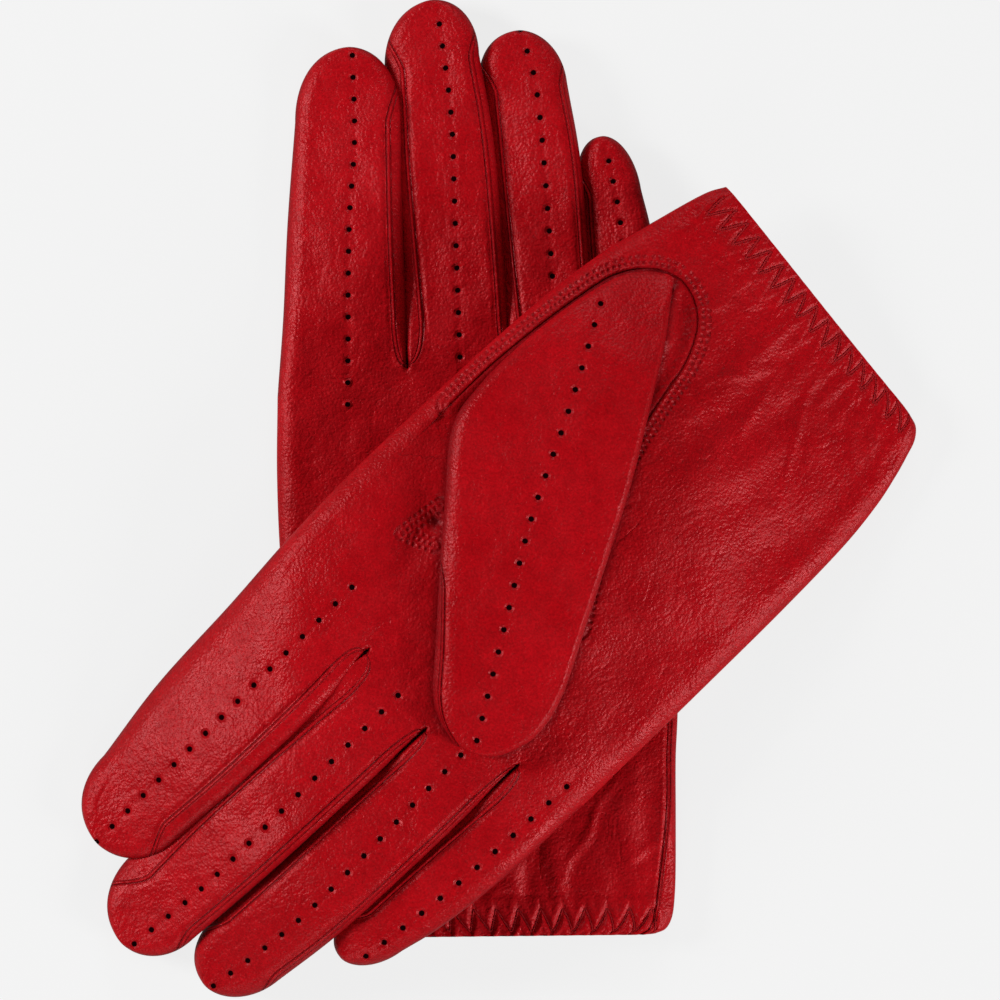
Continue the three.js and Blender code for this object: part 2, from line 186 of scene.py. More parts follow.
# Outlines of the hand from the hem up, and of the fingers, each with only the points that its shape needs.
PINKY_EDGE = [(-37.2, 0.6), (-40.2, 1.5), (-42.6, 4.2), (-44.2, 8.4), (-46.0, 14), (-48.2, 23), (-50.0, 37),
              (-50.9, 60), (-51.3, 90), (-52.0, 131)]
THUMB_EDGE = [(38.8, -3.8), (41.4, 2), (45.0, 17), (48.4, 34), (50.2, 60), (50.6, 100), (50.2, 122),
              (48.9, 143)]
LEFT_PINKY_EDGE = [(-36.4, -2.6), (-39.0, -1.6), (-40.8, 1.4), (-41.8, 6.4), (-42.6, 14), (-43.6, 28),
                   (-44.6, 42.4), (-45.9, 54), (-48.2, 80), (-49.4, 105), (-49.8, 131)]
LEFT_THUMB_EDGE = [(36.5, 1.7), (41, 7), (46.5, 20), (50.8, 38), (53.6, 62), (54.2, 98), (53.6, 122),
                   (52, 143)]
RIGHT_FINGERS = [
    FingerPattern(
        "pinky", [(-52, 131), (-51.3, 158), (-49.6, 178), (-47.4, 190)],
        [(-32.6, 136.8), (-32.0, 150), (-31.0, 172), (-30.8, 190)], (-38.0, 202.8),
        [(-42, 197.3), (-44.3, 165), (-45.2, 130.6)], 12, ((1, 4.0),), (1.0, 21.0),
    ),
    FingerPattern(
        "ring", [(-32.6, 136.8), (-33.2, 160), (-33.2, 196), (-31.8, 219)],
        [(-10, 147.6), (-9.2, 168), (-9.0, 198), (-8.8, 219)], (-19.8, 234.6),
        [(-21.6, 232.5), (-23.4, 208), (-22.9, 184), (-20.5, 138.6)], 17, ((-1, 2.2), (1, 3.4)), (4.0, 22.0),
    ),
    FingerPattern(
        "middle", [(-10, 147.6), (-10.0, 170), (-9.8, 205), (-9.2, 228)],
        [(14.6, 144.4), (17.2, 158), (18.4, 200), (17.4, 227)], (3.6, 243.4),
        [(0.1, 240.6), (-1.1, 216.9), (-0.5, 193.5), (1.0, 145.8)], 17, ((-1, 2.7), (1, 7.8)), (2.2, 21.5),
    ),
    FingerPattern(
        "index", [(14.6, 144.4), (12.4, 158), (11.8, 190), (12.6, 214)],
        [(48.9, 143), (47.2, 162), (45.2, 190), (41.2, 214)], (26.4, 230.4),
        [(26.0, 229.9), (27.6, 175.5), (28.9, 135.7)], 17, ((-1, 5.2),), (2.2, 22.5),
    ),
]
LEFT_FINGERS = [
    FingerPattern(
        "pinky", [(-49.8, 131), (-49.4, 158), (-47.8, 178), (-45.8, 190)],
        [(-30.8, 138), (-30.2, 150), (-29.6, 172), (-29.6, 190)], (-36.4, 204.6),
        [(-37.9, 197.7), (-39.8, 181.7), (-42.5, 138.5)], 12, ((1, 3.2),), (36.0, 58.0),
    ),
    FingerPattern(
        "ring", [(-30.8, 138), (-31, 160), (-30.8, 196), (-28.6, 219)],
        [(-8.8, 148), (-7.6, 168), (-6.4, 198), (-5.8, 219)], (-16.4, 233.4),
        [(-17.5, 233.2), (-20.6, 216.6), (-21.3, 180.8), (-21, 145.6)], 16, ((-1, 2.2), (1, 4.6)),
        (23.0, 45.0),
    ),
    FingerPattern(
        "middle", [(-8.8, 148), (-9.2, 170), (-8.6, 205), (-6.4, 228)],
        [(17.8, 149.0), (18.0, 160), (18.8, 200), (18.4, 226)], (5.6, 242.8),
        [(3.3, 236.1), (1.9, 212.6), (2.6, 189.6), (4.4, 138.4)], 18, ((-1, 2.8), (1, 5.2)), (6.6, 23.0),
    ),
    FingerPattern(
        "index", [(17.8, 149.0), (17.2, 160), (16.4, 185), (15.0, 213)],
        [(52, 143), (49.4, 162), (46.4, 188), (42.6, 214)], (27.6, 232.2),
        [(26.3, 229.6), (27.3, 207.2), (30.3, 184.2), (33.8, 139.7)], 17, ((-1, 3.7),), (6.6, 23.0),
    ),
]
THUMB = FingerPattern(
    "thumb",
    [(30.6, 22.5), (27.5, 26.5), (20, 36), (10, 51), (0, 66.5), (-10, 84), (-20, 102), (-27, 115),
     (-29.8, 124), (-29.6, 131), (-26.0, 139), (-18, 143.6)],
    [(32.6, 23.0), (37.0, 26.8), (40.6, 33.0), (42.8, 43), (44, 53), (44.6, 64), (44.2, 77), (41.2, 89.5),
     (28.5, 104), (16, 117.5), (4, 130), (-4, 138.4), (-10, 142), (-18, 143.6)],
    (-18, 143.6),
    [(-20.5, 138.6), (-5.2, 115.3), (10.8, 90.8), (24.4, 65.1), (38.4, 41.1)], 21, (), (0, 0),
)
THUMB_SEAM = [(45.6, 86), (45.8, 72), (45.0, 58), (43.8, 46), (41.8, 34), (37.4, 26.2), (31.9, 22.2),
              (27.1, 21.5), (21.3, 23.4), (16.7, 27.8), (12.9, 35.5), (11.2, 43.1), (9.4, 50.9), (6.6, 61.4),
              (1.1, 73.6), (-8, 88), (-17, 101)]
QUIRK = [(28.8, 105.2), (30.0, 117.1), (22.2, 113.2)]
QUIRK_HOLLOW = (26.4, 108.9)
THUMB_BASE = np.array([38, 32.0])  # the middle of the folded thumb's root
THUMB_WAY = np.array([-63.7, 107.5]) / np.hypot(-63.7, 107.5)  # and its direction across the palm
THUMB_BEND = (53.5, 79.5)  # where its fold starts and ends, from its root
# Long soft wrinkles that run from the cuff's gathers into the palm, each with its height.
WRINKLES = [([(-6, 14), (-1, 24), (8, 40)], 0.22), ([(-12.2, 9), (-15.6, 18), (-23.5, 31), (-33, 46)], 0.34),
            ([(-28, 15), (-36, 20), (-45, 24)], 0.3), ([(14, 12), (19, 22), (22, 30)], 0.2),
            ([(-4, 14), (-7, 27), (-13, 44)], 0.24), ([(28, 10), (33, 24), (38, 40)], 0.2)]
ZIGZAG_HEM = (1.9, 9.3)  # the stitching's corners, from the hem
ZIGZAG_START = 0.035  # its margin at the pinky edge, as a share of the width
ZIGZAG_SPAN = 0.93
HOLE_PITCH = 5.95
HOLE_RADIUS = 0.74
MIDDLE_HEIGHT = 4.7  # of the gap between a glove's two layers
FINGER_HALF = 4.1
FLOOR_GAP = 0.15  # the lowest that a skin lies
SEAM_REACH = (-6, 9)  # how far from a seam its distance is kept


class Side(Enum):
    """Which hand a glove is for."""

    LEFT = "left"
    RIGHT = "right"


@dataclass(frozen=True)
class Lay:
    """How one glove lies: where its hem is, how it is turned, and what it drapes over."""

    side: Side
    at: tuple[float, float]
    turn: float
    fingers: list[FingerPattern]
    edges: tuple[list, list]
    draped: bool
    side_strip: float  # share of the strip along the pinky side that shows on the palm side
    turns: float  # turns of the zigzag across the hem
    seed: int

    def plan(self, x: np.ndarray, y: np.ndarray) -> tuple[np.ndarray, np.ndarray]:
        """Where points of the hand frame lie on the surface, in millimetres."""
        c, s = math.cos(math.radians(self.turn)), math.sin(math.radians(self.turn))
        x = -x if self.side is Side.LEFT else x
        return self.at[0] + c * x - s * y, self.at[1] + s * x + c * y

    def place(self, point: np.ndarray, height: float) -> Vector:
        """A point of the hand frame at a height, both as metres in the shared frame."""
        wx, wy = self.plan(point[0], point[1])
        return Vector((wx * MM, wy * MM, height))


OFFSET = (0.053, -1.084)  # the point under the lens, from which both gloves' places are measured
LEFT = Lay(Side.LEFT, (4.1 + OFFSET[0], -112.3 + OFFSET[1]), 4, LEFT_FINGERS,
           (LEFT_PINKY_EDGE, LEFT_THUMB_EDGE), False, 1.0, 13.5, 11)
RIGHT = Lay(Side.RIGHT, (81.6 + OFFSET[0], 49.4 + OFFSET[1]), 133, RIGHT_FINGERS,
            (PINKY_EDGE, THUMB_EDGE), True, 0.0, 16, 29)


def drape(wx: np.ndarray, wy: np.ndarray) -> np.ndarray:
    """How high the upper glove's underside lies over the lower glove and its folded thumb.

    Args:
        wx: First coordinates in the shared frame, in millimetres.
        wy: Second coordinates.

    Returns:
        The height at each point, in millimetres.
    """
    x, y = wx - OFFSET[0], wy - OFFSET[1]
    hand = 11.2 * smooth(-104, -44, x) * (1 - smooth(44, 104, x)) * smooth(-150, -104, y)
    across = np.array([THUMB_WAY[1], -THUMB_WAY[0]])
    ends = [THUMB_BASE + s * THUMB_WAY + 7 * across for s in (12, 100)]
    a, b = (np.array(LEFT.plan(p[0], p[1])) - OFFSET for p in ends)
    u = np.clip(((x - a[0]) * (b - a)[0] + (y - a[1]) * (b - a)[1]) / ((b - a) @ (b - a)), 0, 1)
    near = np.hypot(x - a[0] - u * (b - a)[0], y - a[1] - u * (b - a)[1])
    return hand + 8.9 * (1 - smooth(21, 76, near))


# ---- finishes ----
def linear(code: str) -> tuple[float, float, float, float]:
    """An sRGB hex colour as linear light."""
    parts = [int(code[i : i + 2], 16) / 255 for i in (1, 3, 5)]
    return (*[c / 12.92 if c <= 0.04045 else ((c + 0.055) / 1.055) ** 2.4 for c in parts], 1.0)


def add_node(tree: bpy.types.NodeTree, kind: str, inputs: dict | None = None, **settings) -> bpy.types.Node:
    """Adds a shader node.

    Args:
        tree: The material's node tree.
        kind: The node's type, without its ShaderNode prefix.
        inputs: Socket name or number to a value or to the output that feeds it.
        settings: The node's own settings.

    Returns:
        The new node.
    """
    node = tree.nodes.new("ShaderNode" + kind)
    for key, value in settings.items():
        setattr(node, key, value)
    for key, value in (inputs or {}).items():
        if isinstance(value, bpy.types.NodeSocket):
            tree.links.new(value, node.inputs[key])
        else:
            node.inputs[key].default_value = value
    return node


@dataclass(frozen=True)
class Leather:
    """Aniline-dyed lambskin: smooth, close-grained and satin, with fine creases that catch the light."""

    name: str = "lambskin_leather"
    # The dark red is painted shade, used by the shade map and in the seams' grooves.
    dark: str = "#5E050B"
    body: str = "#A4060F"
    light: str = "#B00A14"
    # The near black of the holes is painted shade: the glove's shaded inside, seen through them.
    punched: str = "#120204"
    roughness: float = 0.35
    specular: float = 0.3
    sheen: str = "#FF9094"  # the tint of its shine
    grain_mm: float = 0.7
    web_mm: float = 2.1
    pore_mm: float = 0.6

    def build(self) -> bpy.types.Material:
        """The material, with its patterns scaled from real millimetres.

        Lambskin's own pores are finer than the grain here, which is drawn as coarse as it needs to show.
        """
        material = bpy.data.materials.new(self.name)
        material.use_nodes = True
        tree = material.node_tree
        tree.nodes.clear()
        place = add_node(tree, "TexCoord").outputs["Object"]
        mm = add_node(tree, "Mapping", {"Vector": place, "Scale": (1000, 1000, 1000)}).outputs["Vector"]
        cloud = add_node(tree, "TexNoise", {"Vector": mm, "Scale": 1 / 34, "Detail": 3.0, "Roughness": 0.55})
        mottle = add_node(tree, "TexNoise", {"Vector": mm, "Scale": 1 / 3.2, "Detail": 4.0, "Roughness": 0.6})
        tone = add_node(tree, "ValToRGB", {"Fac": cloud.outputs["Fac"]})
        for stop, (at, code) in zip(tone.color_ramp.elements, ((0.34, self.body), (0.68, self.light))):
            stop.position = at
            stop.color = linear(code)
        speck = add_node(tree, "MapRange", {"Value": mottle.outputs["Fac"], "From Min": 0.3, "From Max": 0.7,
                                            "To Min": 0.86, "To Max": 1.06})
        # Painted shade: the skin's shade map darkens the tone towards the dark red.
        shade = add_node(tree, "Attribute", attribute_name="crease")
        fold = add_node(tree, "Mix", {"Factor": shade.outputs["Fac"], 6: tone.outputs["Color"],
                                      7: linear(self.dark)}, data_type="RGBA")
        base = add_node(tree, "VectorMath", {0: fold.outputs[2], "Scale": speck.outputs["Result"]},
                        operation="SCALE")
        pores = add_node(tree, "TexNoise", {"Vector": mm, "Scale": 1 / self.pore_mm, "Detail": 2.0,
                                            "Roughness": 0.6})
        pore = add_node(tree, "MapRange", {"Value": pores.outputs["Fac"], "From Min": 0.32, "From Max": 0.68,
                                           "To Min": 0.82, "To Max": 1.2})
        colour = add_node(tree, "VectorMath", {0: base.outputs[0], "Scale": pore.outputs["Result"]},
                          operation="SCALE").outputs[0]
        # Soft handling marks, the fine creases between pores, and the close grain.
        grain = add_node(tree, "TexVoronoi", {"Vector": mm, "Scale": 1 / self.grain_mm}, feature="SMOOTH_F1")
        web = add_node(tree, "TexVoronoi", {"Vector": mm, "Scale": 1 / self.web_mm, "Randomness": 1.0},
                       feature="DISTANCE_TO_EDGE")
        web_line = add_node(tree, "MapRange", {"Value": web.outputs["Distance"], "From Min": 0.0,
                                               "From Max": 0.14, "To Min": 0.0, "To Max": 1.0})
        marks = add_node(tree, "TexNoise", {"Vector": mm, "Scale": 1 / 8.0, "Detail": 2.0, "Distortion": 0.4})
        bumps = [(marks.outputs["Fac"], 0.3, 0.0003), (web_line.outputs["Result"], 0.4, 0.00008),
                 (grain.outputs["Distance"], 0.8, 0.00018), (pores.outputs["Fac"], 0.7, 0.00016)]
        line, dark = self.seams(tree)
        ring, inside = self.punch(tree)
        bumps += [(line, 1.0, 0.0006), (ring, 0.8, 0.0005)]
        # Painted shade in the seams' grooves and along the thumb's stitch rows.
        sunk = add_node(tree, "Mix", {"Factor": dark, 6: colour, 7: linear(self.dark)}, data_type="RGBA")
        # Painted shade inside the holes.
        hole = add_node(tree, "Mix", {"Factor": inside, 6: sunk.outputs[2], 7: linear(self.punched)},
                        data_type="RGBA")
        level = add_node(tree, "MapRange", {"Value": inside, "From Min": 0.0, "From Max": 1.0,
                                            "To Min": self.specular, "To Max": 0.0}).outputs["Result"]
        normal = None
        for height, strength, distance in bumps:
            feed = {"Height": height, "Strength": strength, "Distance": distance}
            if normal:
                feed["Normal"] = normal
            normal = add_node(tree, "Bump", feed).outputs["Normal"]
        rough = add_node(tree, "MapRange", {"Value": marks.outputs["Fac"], "From Min": 0.3, "From Max": 0.7,
                                            "To Min": self.roughness - 0.05, "To Max": self.roughness + 0.09})
        shader = add_node(tree, "BsdfPrincipled", {
            "Base Color": hole.outputs[2], "Roughness": rough.outputs["Result"], "Normal": normal, "IOR": 1.5,
            "Specular IOR Level": level, "Specular Tint": linear(self.sheen),
        })
        out = add_node(tree, "OutputMaterial")
        tree.links.new(shader.outputs["BSDF"], out.inputs["Surface"])
        return material

    def band(self, tree: bpy.types.NodeTree, value: bpy.types.NodeSocket, centre: float,
             half: float) -> bpy.types.NodeSocket:
        """1 where a value is at the centre, fading to 0 at half a band away.

        Args:
            tree: The material's node tree.
            value: The value to look at.
            centre: The middle of the band, in millimetres.
            half: Half its width.

        Returns:
            The share, 0 to 1.
        """
        away = add_node(tree, "Math", {0: value, 1: centre}, operation="SUBTRACT")
        size = add_node(tree, "Math", {0: away.outputs[0]}, operation="ABSOLUTE")
        share = add_node(tree, "MapRange", {"Value": size.outputs[0], "From Min": 0.0, "From Max": half,
                                            "To Min": 1.0, "To Max": 0.0}, interpolation_type="SMOOTHSTEP")
        return share.outputs["Result"]

    def seams(self, tree: bpy.types.NodeTree) -> tuple[bpy.types.NodeSocket, bpy.types.NodeSocket]:
        """The lines of the seams: two fine grooves with a ridge between them, and the thumb's stitches.

        Args:
            tree: The material's node tree.

        Returns:
            The height of the leather, and how much painted shade darkens it in a groove.
        """
        seam = add_node(tree, "Attribute", attribute_name="seam").outputs["Fac"]
        stitches = add_node(tree, "UVMap", uv_map="stitches").outputs["UV"]
        part = add_node(tree, "SeparateXYZ", {"Vector": stitches})
        run, side = part.outputs["X"], part.outputs["Y"]
        grooves = [(self.band(tree, seam, 0.0, 0.34), 0.8), (self.band(tree, seam, -0.95, 0.3), 0.5),
                   (self.band(tree, side, 0.0, 0.4), 0.7)]
        # The thumb's two rows of small stitches, which pucker the leather between them.
        for across, pitch, shift in ((-1.7, 1.45, 0.0), (-3.3, 1.7, 0.6)):
            turn = add_node(tree, "Math", {0: run, 1: 2 * math.pi / pitch, 2: shift},
                            operation="MULTIPLY_ADD")
            swing = add_node(tree, "Math", {0: turn.outputs[0]}, operation="SINE")
            beat = add_node(tree, "Math", {0: swing.outputs[0], 1: 0.5, 2: 0.5}, operation="MULTIPLY_ADD")
            stitch = add_node(tree, "Math", {0: self.band(tree, side, across, 0.9), 1: beat.outputs[0]},
                              operation="MULTIPLY")
            grooves.append((stitch.outputs[0], 0.55))
        depth = None
        for share, weight in grooves:
            feed = {0: share, 1: weight, 2: depth if depth else 0.0}
            depth = add_node(tree, "Math", feed, operation="MULTIPLY_ADD").outputs[0]
        height = add_node(tree, "Math", {0: 1.0, 1: depth}, operation="SUBTRACT").outputs[0]
        # Painted shade, deepest in the grooves and the stitch rows.
        dark = add_node(tree, "Math", {0: depth, 1: 0.75}, operation="MULTIPLY", use_clamp=True).outputs[0]
        return height, dark

    def punch(self, tree: bpy.types.NodeTree) -> tuple[bpy.types.NodeSocket, bpy.types.NodeSocket]:
        """The rows of punched holes, read from the map named rows: holes apart, and millimetres across.

        Args:
            tree: The material's node tree.

        Returns:
            The height of the leather round a hole, and how far a point is inside a hole, 0 to 1.
        """
        rows = add_node(tree, "UVMap", uv_map="rows").outputs["UV"]
        part = add_node(tree, "SeparateXYZ", {"Vector": rows})
        shifted = add_node(tree, "Math", {0: part.outputs["X"], 1: 0.5}, operation="ADD")
        cell = add_node(tree, "Math", {0: shifted.outputs[0]}, operation="FRACT")
        centred = add_node(tree, "Math", {0: cell.outputs[0], 1: 0.5}, operation="SUBTRACT")
        along = add_node(tree, "Math", {0: centred.outputs[0], 1: HOLE_PITCH}, operation="MULTIPLY")
        spot = add_node(tree, "CombineXYZ", {"X": along.outputs[0], "Y": part.outputs["Y"]})
        radius = add_node(tree, "VectorMath", {0: spot.outputs[0]}, operation="LENGTH").outputs["Value"]
        allowed = add_node(tree, "Attribute", attribute_name="punched").outputs["Fac"]
        edge = add_node(tree, "MapRange", {"Value": radius, "From Min": HOLE_RADIUS - 0.1,
                                           "From Max": HOLE_RADIUS + 0.1, "To Min": 1.0, "To Max": 0.0})
        inside = add_node(tree, "Math", {0: edge.outputs["Result"], 1: allowed}, operation="MULTIPLY")
        dip = add_node(tree, "MapRange", {"Value": radius, "From Min": HOLE_RADIUS - 0.2,
                                          "From Max": HOLE_RADIUS + 0.75, "To Min": 1.0, "To Max": 0.0},
                       interpolation_type="SMOOTHSTEP")
        deep = add_node(tree, "Math", {0: dip.outputs["Result"], 1: allowed}, operation="MULTIPLY")
        height = add_node(tree, "Math", {0: 1.0, 1: deep.outputs[0]}, operation="SUBTRACT")
        return height.outputs[0], inside.outputs[0]


@dataclass(frozen=True)
class Textile:
    """Spun polyester: a matt thread or web, with the twist or rib of its yarn."""

    name: str
    colour: str
    shade: str
    rib_mm: float
    roughness: float = 0.72

    def build(self) -> bpy.types.Material:
        """The material, with its ribs at their real spacing."""
        material = bpy.data.materials.new(self.name)
        material.use_nodes = True
        tree = material.node_tree
        tree.nodes.clear()
        place = add_node(tree, "TexCoord").outputs["Object"]
        mm = add_node(tree, "Mapping", {"Vector": place, "Scale": (1000, 1000, 1000)}).outputs["Vector"]
        rib = add_node(tree, "TexWave", {"Vector": mm, "Scale": 1 / (3.2 * self.rib_mm), "Distortion": 1.5},
                       bands_direction="DIAGONAL")
        mix = add_node(tree, "Mix", {"Factor": rib.outputs["Fac"], 6: linear(self.shade),
                                     7: linear(self.colour)}, data_type="RGBA")
        bump = add_node(tree, "Bump", {"Height": rib.outputs["Fac"], "Strength": 0.6, "Distance": 0.0002})
        shader = add_node(tree, "BsdfPrincipled", {
            "Base Color": mix.outputs[2], "Normal": bump.outputs["Normal"], "Roughness": self.roughness,
            "Specular IOR Level": 0.2,
        })
        out = add_node(tree, "OutputMaterial")
        tree.links.new(shader.outputs["BSDF"], out.inputs["Surface"])
        return material


# ---- meshes ----
FAR = 50  # millimetres from any row or stitch


def first_twice(values: np.ndarray) -> np.ndarray:
    """Values for every ring, with the first ring's again for the ring that closes the skin."""
    return np.concatenate([values[:1], values])


@dataclass
class Skin:
    """A closed leather skin as rings of points in the hand frame, one ring after another."""

    name: str
    rings: np.ndarray  # rings x points x 3
    crease: np.ndarray | None = None  # painted shade, 0 to 1: along edges, round the thumb and inside the hem
    seam: np.ndarray | None = None  # distance from a plain seam
    rows: np.ndarray | None = None  # along and across the rows of holes
    stitches: np.ndarray | None = None  # along and across the thumb's seam
    punched: np.ndarray | None = None  # 1 where holes may be
    sharp: tuple[int, ...] = ()  # rings where the skin turns inside

    def filled(self, values: np.ndarray | None, spare: float, depth: tuple[int, ...] = ()) -> np.ndarray:
        """The given values, or a spare one at every point where there are none."""
        return np.full(self.rings.shape[:2] + depth, spare, float) if values is None else values

    def build(self, lay: Lay, material: bpy.types.Material) -> bpy.types.Object:
        """Makes the object from a grid, laid where the glove lies.

        Args:
            lay: How the glove lies.
            material: The leather.

        Returns:
            The finished object, at the origin with its place in its mesh.
        """
        count, across = self.rings.shape[:2]
        select_nothing()
        bpy.ops.mesh.primitive_grid_add(x_subdivisions=across, y_subdivisions=count - 1, size=2)
        made = bpy.context.object
        made.name = made.data.name = self.name
        mesh = made.data
        flat = np.zeros(len(mesh.vertices) * 3)
        mesh.vertices.foreach_get("co", flat)
        flat = flat.reshape(-1, 3)
        column = np.rint((flat[:, 0] + 1) / 2 * across).astype(int) % across
        row = np.rint((flat[:, 1] + 1) / 2 * (count - 1)).astype(int)
        p = self.rings[row, column]
        wx, wy = lay.plan(p[:, 0], p[:, 1])
        wz = p[:, 2] + (drape(wx, wy) if lay.draped else 0)
        mesh.vertices.foreach_set("co", (np.stack([wx, wy, wz], -1) * MM).ravel())
        for label, values, spare in (("crease", self.crease, 0), ("punched", self.punched, 0),
                                      ("seam", self.seam, SEAM_REACH[1])):
            layer = mesh.attributes.new(label, "FLOAT", "POINT")
            layer.data.foreach_set("value", self.filled(values, spare)[row, column].astype(np.float32))
        ends = np.zeros(len(mesh.edges) * 2, int)
        mesh.edges.foreach_get("vertices", ends)
        ends = row[ends.reshape(-1, 2)]
        hard = mesh.attributes.new("sharp_edge", "BOOLEAN", "EDGE")
        hard.data.foreach_set("value", (ends[:, 0] == ends[:, 1]) & np.isin(ends[:, 0], self.sharp))
        corner = np.zeros(len(mesh.loops), int)
        mesh.loops.foreach_get("vertex_index", corner)
        while mesh.uv_layers:
            mesh.uv_layers.remove(mesh.uv_layers[0])
        for label, values in (("rows", self.rows), ("stitches", self.stitches)):
            uv = mesh.uv_layers.new(name=label)
            uv.data.foreach_set("uv", self.filled(values, FAR, (2,))[row, column][corner].ravel())
        finish_mesh(made, material)
        return made


def select_nothing() -> None:
    """Leaves object mode with nothing selected."""
    if bpy.context.object and bpy.context.object.mode != "OBJECT":
        bpy.ops.object.mode_set(mode="OBJECT")
    bpy.ops.object.select_all(action="DESELECT")


def finish_mesh(made: bpy.types.Object, material: bpy.types.Material) -> None:
    """Closes a mesh's seam and poles, turns its faces outwards, smooths it and gives it its material."""
    select_nothing()
    bpy.context.view_layer.objects.active = made
    made.select_set(True)
    bpy.ops.object.mode_set(mode="EDIT")
    bpy.ops.mesh.select_all(action="SELECT")
    bpy.ops.mesh.remove_doubles(threshold=2e-6)
    bpy.ops.mesh.normals_make_consistent(inside=False)
    bpy.ops.object.mode_set(mode="OBJECT")
    made.data.shade_smooth()
    made.data.materials.clear()
    made.data.materials.append(material)


TOP = 84  # columns over the palm side, for one finger's width of the hand
FINGER_TOP = 120
UNDER = 22
SLIT_RADIUS = 1.3  # of the leather's edges where two fingers part
SEAM_START = 0.7  # the side strips' seam passes this close below a crotch
ROW_PAST = 20  # how far the line of a row runs on past its last hole


def section(columns: int) -> np.ndarray:
    """Places across a width, -1 to 1, that crowd towards both edges."""
    return -np.cos(np.linspace(0, math.pi, columns + 1))


# ---- one glove ----
@dataclass
class Part:
    """What the sub-assemblies of a glove share: how the glove lies, its leather and the leather's relief."""

    lay: Lay
    leather: bpy.types.Material
    row_step: float = 0.7  # between the rings of a skin

    def relief(self, x: np.ndarray, y: np.ndarray) -> np.ndarray:
        """The soft rise and fall of worn leather, in millimetres, the same on every piece of the glove."""
        seed = self.lay.seed
        broad = 0.55 * waves(x, y, 34, seed, 1.6) + 0.22 * waves(x, y, 13, seed + 1, 1.3)
        fine = -0.16 * creases(x, y, 16, seed + 2, 0.7) - 0.09 * creases(x, y, 7, seed + 3, 0.8)
        return broad * smooth(0, 30, y) + fine

    def row_pattern(self, x: np.ndarray, y: np.ndarray, fingers: list[FingerPattern]) -> tuple:
        """Where points lie along and across the rows of holes.

        Args:
            x: First coordinates.
            y: Second coordinates.
            fingers: The fingers whose rows are looked at.

        Returns:
            The rows map, where holes may be punched, and the distance from the nearest row.
        """
        best = np.full(x.shape, 1e9)
        rows = np.zeros((*x.shape, 2))
        punched = np.zeros(x.shape)
        for finger in fingers:
            path = through(finger.row, np.linspace(0, 1, 24))
            length = float(np.sum(np.hypot(*np.diff(path, axis=0).T)))
            # The line runs on at both ends, so that points past the row have their place along it too.
            before, after = path[0] - path[1], path[-1] - path[-2]
            start = path[0] + before / np.hypot(*before) * ROW_PAST
            stop = path[-1] + after / np.hypot(*after) * ROW_PAST
            run, off = distance_along(np.vstack([start, path, stop]), x, y)
            run = (run - ROW_PAST) / length * (finger.holes - 1)
            within = (run > -0.5) & (run < finger.holes - 0.5) & (np.abs(off) < 3.4)
            near = np.abs(off) < best
            best = np.where(near, np.abs(off), best)
            rows = np.where(near[..., None], np.stack([run, off], -1), rows)
            punched = np.where(near, within.astype(float), punched)
        return rows, punched, best

    def stand_for(self, made: bpy.types.Object, nodes: list[str], slot: str) -> None:
        """Lets a finished piece stand for CAD pieces by hiding them, and reports it.

        Args:
            made: The finished piece.
            nodes: The CAD pieces that it replaces.
            slot: The colour slot; not used.
        """
        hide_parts(*nodes)
        LOG.info("%s: %d points", made.name, len(made.data.vertices))


